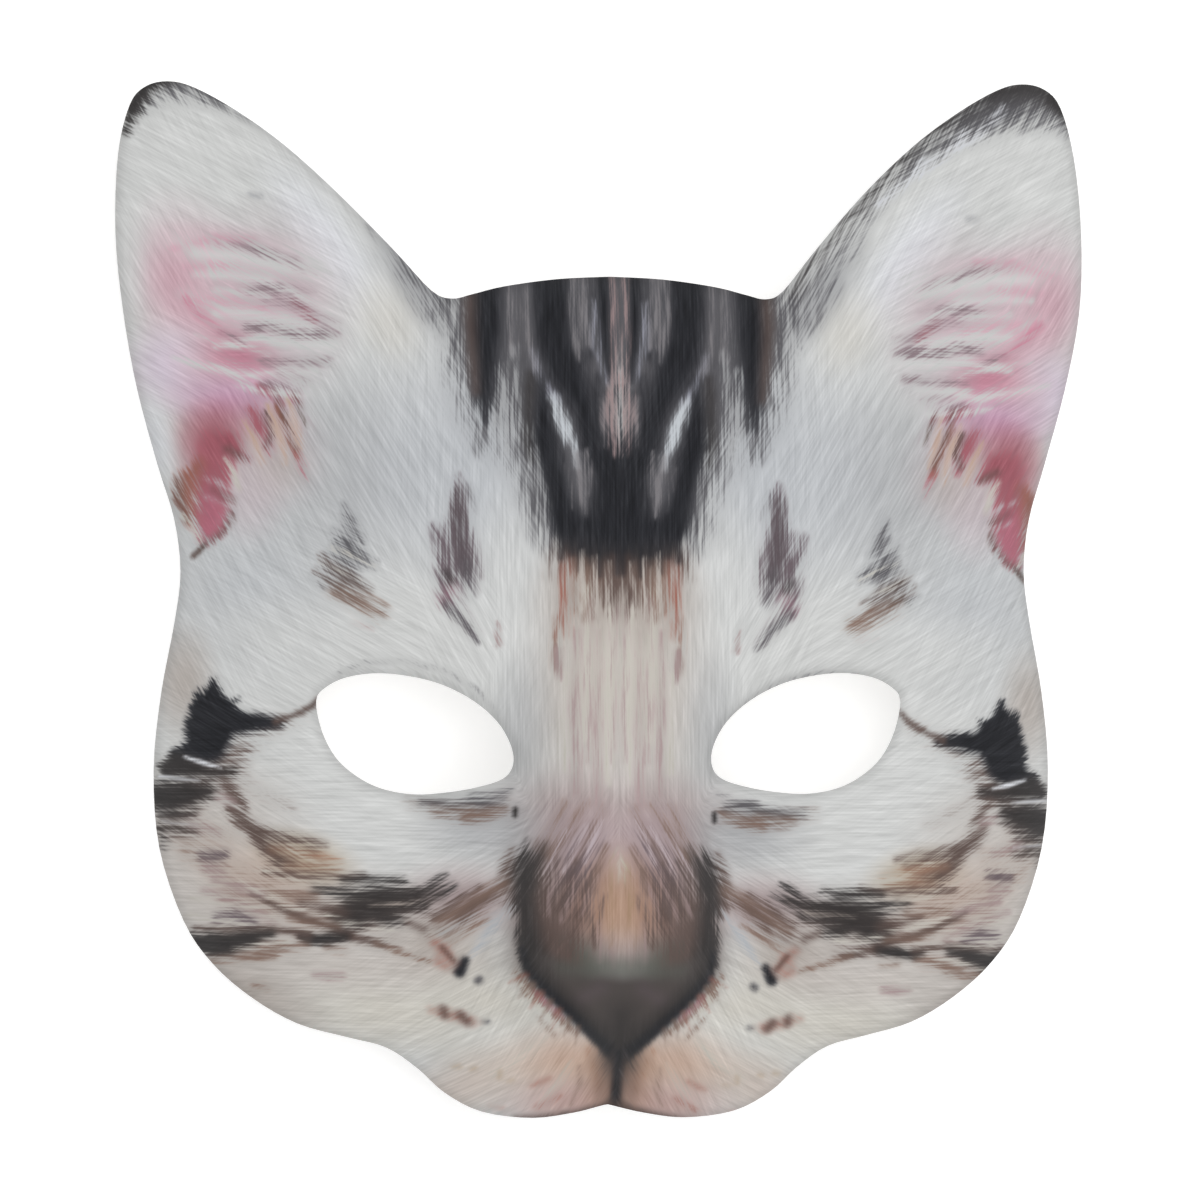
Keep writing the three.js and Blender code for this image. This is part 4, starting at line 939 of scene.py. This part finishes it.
def paintWash(picture, wash):
    colour, strength, u, v, across, along, lean = wash
    turn = math.radians(lean)
    du, dv = gridU - u, gridV - v
    reach = np.hypot((du * math.cos(turn) + dv * math.sin(turn)) / across,
                     (dv * math.cos(turn) - du * math.sin(turn)) / along)
    picture[..., :3] += (strength * bell(reach))[..., None] * (tint(colour) - picture[..., :3])


# Lays a mark over a layer of colour and cover.
def paintMark(layer, mark, soften):
    colour, strength, feather, path = mark
    feather = feather * soften
    path = np.array(path, float)
    reach = path[:, 2].max() + feather + canvas["step"]
    (lowU, lowV), (highU, highV) = path[:, :2].min(axis=0) - reach, path[:, :2].max(axis=0) + reach
    left, right = (int(np.clip(u / canvas["step"], 0, columns)) for u in (lowU, highU))
    low, high = (int(np.clip((v - canvas["bottom"]) / canvas["step"], 0, rows)) for v in (lowV, highV))
    u, v = gridU[low:high, left:right], gridV[low:high, left:right]
    edge = np.full(u.shape, np.inf)
    for (u0, v0, w0), (u1, v1, w1) in zip(path, path[1:]):
        du, dv = u1 - u0, v1 - v0
        along = np.clip(((u - u0) * du + (v - v0) * dv) / (du * du + dv * dv + 1e-9), 0, 1)
        distance = np.hypot(u - u0 - along * du, v - v0 - along * dv)
        edge = np.minimum(edge, distance - w0 - along * (w1 - w0))
    cover = strength * smoothStep(feather, -feather, edge - canvas["bleed"])
    part = layer[low:high, left:right]
    total = cover + part[..., 3] * (1 - cover)
    share = cover / np.maximum(total, 1e-6)
    part[..., :3] += share[..., None] * (tint(colour) - part[..., :3])
    part[..., 3] = total


# The fur's line, as the cosine and sine of twice its angle, and its share.
def furField():
    sums = np.zeros((*gridU.shape, 4))
    for flows, share in ((hairFlow, 1), (bareSkin, 0)):
        for u, v, direction, reach in flows:
            spread = canvas["flowSpread"] * reach
            weight = np.exp(-((gridU - u) ** 2 + (gridV - v) ** 2) / (2 * spread ** 2)) + 1e-9
            turn = 2 * math.radians(direction)
            sums += weight[..., None] * np.array([math.cos(turn), math.sin(turn), share, 1])
    return sums[..., :3] / sums[..., 3:]


def paintPrint():
    layers = {}
    for name, (colour, cover) in printLayers.items():
        layers[name] = np.empty((rows, columns, 4))
        layers[name][:] = [*tint(colour), cover]
    for area in washes.values():
        for wash in area:
            paintWash(layers["printGround"], wash)
    for name, marks, soften in (("printDark", shades, canvas["hairSoften"]),
                                ("printDark", sum(darkHair.values(), []), canvas["hairSoften"]),
                                ("printLight", lightHair, canvas["hairSoften"]),
                                ("printSpots", spots, canvas["spotSoften"])):
        for mark in marks:
            paintMark(layers[name], mark, soften)
    return layers


# Where the print lies on the sheet: its middle line wanders and it is turned a little.
printPlace = {
    "middle": [  # y, x
        (-90, 1.45), (-70, 1.0), (-60, 0.6), (-45, 0.3), (-20, 0.5), (0, 1.2), (20, 1.45), (60, 1.8),
    ],
    "turn": 0.029,
}


# From the screen's curve to linear light.
def linearColour(colour):
    return np.where(colour <= 0.04045, colour / 12.92, ((np.maximum(colour, 0) + 0.055) / 1.055) ** 2.4)


# The layers of the print go onto the cloth as colours of its points.
def printCloth(piece):
    data = piece.data
    flat = readPlaces(data.attributes["flat"].data, "vector")
    middleY, middleX = np.array(printPlace["middle"]).T
    x = flat[:, 0] - np.interp(flat[:, 1], middleY, middleX)
    side = np.where(x < 0, -1, 1)
    u = np.abs(x)
    v = flat[:, 1] + side * printPlace["turn"] * u
    for name, layer in paintPrint().items():
        colours = look(layer, u, v)
        colours[:, :3] = np.sqrt(linearColour(colours[:, :3]))  # layers mix as the eye sees them
        store(data, name, "FLOAT_COLOR", colours)
    # Distance inside the die line, which sets the painted shade towards the cut edges.
    store(data, "rim", "FLOAT", dieDepth(flat[:, 0], flat[:, 1]))
    line = look(furField(), u, v)
    line[:, 1] *= side
    store(data, "furLine", "FLOAT_VECTOR", line)
    print("print painted on", len(u), "points")


printCloth(coverPiece)


# A value of a shader: arithmetic on it adds Math nodes.
class Wire:
    def __init__(self, paint, socket):
        self.paint = paint
        self.socket = socket

    def math(self, operation, first, second):
        return self.paint.add("ShaderNodeMath", {"operation": operation}, {0: first, 1: second})

    def __add__(self, other):
        return self.math("ADD", self, other)

    def __radd__(self, other):
        return self.math("ADD", other, self)

    def __sub__(self, other):
        return self.math("SUBTRACT", self, other)

    def __rsub__(self, other):
        return self.math("SUBTRACT", other, self)

    def __mul__(self, other):
        return self.math("MULTIPLY", self, other)

    def __rmul__(self, other):
        return self.math("MULTIPLY", other, self)

    def __truediv__(self, other):
        return self.math("DIVIDE", self, other)

    def __rtruediv__(self, other):
        return self.math("DIVIDE", other, self)

    def __pow__(self, other):
        return self.math("POWER", self, other)

    def __rpow__(self, other):
        return self.math("POWER", other, self)

    def atLeast(self, other):
        return self.math("MAXIMUM", self, other)


# A material, with the methods that add its nodes.
class Paint:
    def __init__(self, name):
        self.material = bpy.data.materials.new(name)
        self.material.use_nodes = True
        self.tree = self.material.node_tree
        self.shader = self.tree.nodes["Principled BSDF"]

    def feed(self, node, sockets):
        for name, value in sockets.items():
            if isinstance(value, Wire):
                self.tree.links.new(value.socket, node.inputs[name])
            else:
                node.inputs[name].default_value = value

    def add(self, kind, settings, sockets, output=0):
        node = self.tree.nodes.new(kind)
        for name, value in settings.items():
            setattr(node, name, value)
        self.feed(node, sockets)
        return Wire(self, node.outputs[output])

    def attribute(self, name, output):
        return self.add("ShaderNodeAttribute", {"attribute_name": name}, {}, output)

    def split(self, vector):
        node = self.add("ShaderNodeSeparateXYZ", {}, {0: vector}).socket.node
        return [Wire(self, socket) for socket in node.outputs]

    def ramp(self, value, low, high, start=0.0, end=1.0):
        return self.add("ShaderNodeMapRange", {"interpolation_type": "SMOOTHSTEP"}, {
            "Value": value, "From Min": low, "From Max": high, "To Min": start, "To Max": end})

    def grey(self, value):
        return self.add("ShaderNodeCombineXYZ", {}, {0: value, 1: value, 2: value})

    def mix(self, blend, factor, first, second):
        return self.add("ShaderNodeMix", {"data_type": "RGBA", "blend_type": blend},
                        {0: factor, 6: first, 7: second}, 2)


# Printed cloth: each layer of the print breaks up into hairs along the fur's line, and the weave shows
# in the relief.
cloth = {
    "directions": 6,
    "fineHair": (7.0, 0.4),  # length and width in millimetres
    "broadHair": (12.0, 1.1),
    "broadShare": 0.6,
    "hairShift": (7.3, 3.1),  # from the strands of one direction to the next
    "hairDetail": 1.0,
    "hairFocus": 3,  # how closely strands keep to the fur's line
    "leastWeight": 0.001,
    "tone": 0.14,  # light and dark of single hairs
    "breakUp": 5.0,
    "hairEdge": (0.03, 0.95),
    "spotBreakUp": 1.6,
    "unprinted": (0.78, 0.77, 0.76, 1),
    "inkDepth": (0.16, 0.04),  # no print deeper than the first, full print above the second
    "rimPaintedShade": 0.92,  # painted shade: the print is darker towards the cut edges
    "rimWidth": 2.2,
    "weave": 0.45,  # millimetres
    "weaveTurn": 45,  # degrees
    "weaveRandom": 0.35,
    "weaveHeight": 0.05,
    "reliefStrength": 0.25,
    "hairRelief": 0.6,
    "knotRelief": 0.4,
    "strandRange": (-0.2, 0.2),
    "roughness": (0.8, 0.92),  # over that range of strands
    "sheen": 0.08,
    "shine": 0.25,
}


# Strands along the fur's line, as a value around 0.
def strands(paint, flat, lineX, lineY, size):
    total, whole = 0, 0
    shiftX, shiftY = cloth["hairShift"]
    for number in range(cloth["directions"]):
        turn = math.pi * number / cloth["directions"]
        place = paint.add("ShaderNodeMapping", {"vector_type": "TEXTURE"}, {
            "Vector": flat,
            "Location": (shiftX * number, shiftY * number, 0),
            "Rotation": (0, 0, turn),
            "Scale": (*size, 1),
        })
        noise = paint.add("ShaderNodeTexNoise", {"noise_dimensions": "2D"}, {
            "Vector": place, "Scale": 1.0, "Detail": cloth["hairDetail"], "Roughness": 0.5})
        along = lineX * math.cos(2 * turn) + lineY * math.sin(2 * turn)
        weight = along.atLeast(cloth["leastWeight"]) ** cloth["hairFocus"]
        total = (noise - 0.5) * weight + total
        whole = weight * weight + whole
    return total / whole ** 0.5


def clothPaint():
    paint = Paint("printed_cloth")
    flat = paint.attribute("flat", 1)
    lineX, lineY, furry = paint.split(paint.attribute("furLine", 1))
    fine = strands(paint, flat, lineX, lineY, cloth["fineHair"]) * furry
    broad = strands(paint, flat, lineX, lineY, cloth["broadHair"]) * furry
    strand = fine + broad * cloth["broadShare"]
    colour = paint.attribute("printGround", 0)
    for name, lean in (("printDark", cloth["breakUp"]),
                       ("printLight", -cloth["breakUp"]),
                       ("printSpots", cloth["spotBreakUp"])):
        cover = paint.attribute(name, 3)
        cover = cover + strand * lean * cover * (1 - cover)  # hairs break up the edges only
        shown = paint.ramp(cover, *cloth["hairEdge"])
        colour = paint.mix("MIX", shown, colour, paint.attribute(name, 0))
    colour = paint.mix("ADD", 1.0, colour, paint.grey(strand * cloth["tone"]))
    # Painted shade: the colour darkens within rimWidth of the rim and the eye holes.
    edge = paint.ramp(paint.attribute("rim", 2), 0.0, cloth["rimWidth"], cloth["rimPaintedShade"], 1.0)
    colour = paint.mix("MULTIPLY", 1.0, colour, paint.grey(edge))
    colour = paint.mix("MULTIPLY", 1.0, colour, colour)  # back to linear light
    printed = paint.ramp(paint.attribute("depth", 2), *cloth["inkDepth"])
    colour = paint.mix("MIX", printed, cloth["unprinted"], colour)
    weave = paint.add("ShaderNodeMapping", {"vector_type": "TEXTURE"}, {
        "Vector": flat,
        "Rotation": (0, 0, math.radians(cloth["weaveTurn"])),
        "Scale": (cloth["weave"],) * 3,
    })
    knots = paint.add("ShaderNodeTexVoronoi", {"voronoi_dimensions": "2D", "feature": "F1"},
                      {"Vector": weave, "Scale": 1.0, "Randomness": cloth["weaveRandom"]})
    bump = paint.add("ShaderNodeBump", {}, {
        "Strength": cloth["reliefStrength"],
        "Distance": cloth["weaveHeight"] * mm,
        "Height": fine * cloth["hairRelief"] + knots * cloth["knotRelief"],
    })
    paint.feed(paint.shader, {
        "Base Color": colour,
        "Roughness": paint.ramp(fine, *cloth["strandRange"], *cloth["roughness"]),
        "Normal": bump,
        "Sheen Weight": cloth["sheen"],
        "Specular IOR Level": cloth["shine"],
    })
    return paint.material


# White closed-cell foam, with the cut cells showing as fine pits.
foamSkin = {
    "colour": (0.84, 0.83, 0.81, 1),
    "shade": (0.76, 0.75, 0.73, 1),
    "shadeRange": (0.25, 0.75),
    "cell": 0.5,  # millimetres
    "cellShare": 0.6,
    "cloudShare": 0.4,
    "cloudScale": 60.0,
    "cloudDetail": 3.0,
    "cloudRange": (0.3, 0.7),
    "roughness": (0.56, 0.7),  # over that range of clouds
    "pitHeight": 0.12,
    "pitStrength": 0.5,
    "shine": 0.35,
}


def foamPaint():
    paint = Paint("eva_foam")
    place = paint.add("ShaderNodeTexCoord", {}, {}, 3)
    cells = paint.add("ShaderNodeTexVoronoi", {"feature": "F1"},
                      {"Vector": place, "Scale": 1 / (foamSkin["cell"] * mm), "Randomness": 1.0})
    cloud = paint.add("ShaderNodeTexNoise", {}, {
        "Vector": place, "Scale": foamSkin["cloudScale"], "Detail": foamSkin["cloudDetail"]})
    grain = cells * foamSkin["cellShare"] + cloud * foamSkin["cloudShare"]
    shade = paint.ramp(grain, *foamSkin["shadeRange"])
    bump = paint.add("ShaderNodeBump", {}, {
        "Strength": foamSkin["pitStrength"],
        "Distance": foamSkin["pitHeight"] * mm,
        "Height": 1 - cells,
    })
    paint.feed(paint.shader, {
        "Base Color": paint.mix("MIX", shade, foamSkin["colour"], foamSkin["shade"]),
        "Roughness": paint.ramp(cloud, *foamSkin["cloudRange"], *foamSkin["roughness"]),
        "Normal": bump,
        "Specular IOR Level": foamSkin["shine"],
    })
    return paint.material


coverPiece.data.materials.append(clothPaint())
foamPiece.data.materials.append(foamPaint())
print("cloth and foam finished")

# Floor, light and camera
studio = {
    "floorSize": 4.0,
    "floorGrey": 0.9,
    "floorGlow": 0.3,
    "floorRoughness": 0.9,
    "white": (1, 1, 1, 1),
    "skyStrength": 0.5,
    "keyStrength": 13.0,
    "keySize": 1.2,
    "keyPlace": (0.15, 0.1, 1.4),  # metres
    "cameraYaw": 3.4,  # degrees
    "cameraDistance": 1500,  # millimetres
    "cameraAim": (0, 0, 15),
    "cameraSide": -1.37,
    "frameWidth": 228,
}
bpy.ops.object.select_all(action="DESELECT")
bpy.ops.mesh.primitive_plane_add(size=studio["floorSize"])
floor = bpy.context.object
floor.name = "studio_floor"
floorPaint = Paint("pale_floor")
floorPaint.feed(floorPaint.shader, {
    "Base Color": (studio["floorGrey"],) * 3 + (1,),
    "Roughness": studio["floorRoughness"],
    "Emission Color": studio["white"],
    "Emission Strength": studio["floorGlow"],
})
floor.data.materials.append(floorPaint.material)

scene = bpy.context.scene
scene.view_settings.view_transform = "Standard"
sky = bpy.data.worlds.new("studio_sky")
scene.world = sky
sky.use_nodes = True
background = sky.node_tree.nodes["Background"]
background.inputs["Color"].default_value = studio["white"]
background.inputs["Strength"].default_value = studio["skyStrength"]
bpy.ops.object.light_add(type="AREA", location=studio["keyPlace"])
key = bpy.context.object
key.data.energy = studio["keyStrength"]
key.data.size = studio["keySize"]

yaw = math.radians(studio["cameraYaw"])
right = np.array([math.cos(yaw), 0, math.sin(yaw)])
back = np.array([-math.sin(yaw), 0, math.cos(yaw)])
aim = np.array(studio["cameraAim"]) + studio["cameraSide"] * right
cameraPlace = (aim + studio["cameraDistance"] * back) * mm + sheetShift
bpy.ops.object.camera_add(location=tuple(cameraPlace), rotation=(0, -yaw, 0))
camera = bpy.context.object
camera.data.lens = camera.data.sensor_width * studio["cameraDistance"] / studio["frameWidth"]
scene.camera = camera
print("studio ready")

for piece, node, slot in ((coverPiece, "printed_cover", "printed_cloth"),
                          (foamPiece, "foam_shell", "eva_foam")):
    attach(piece, "root")
    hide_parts(node)
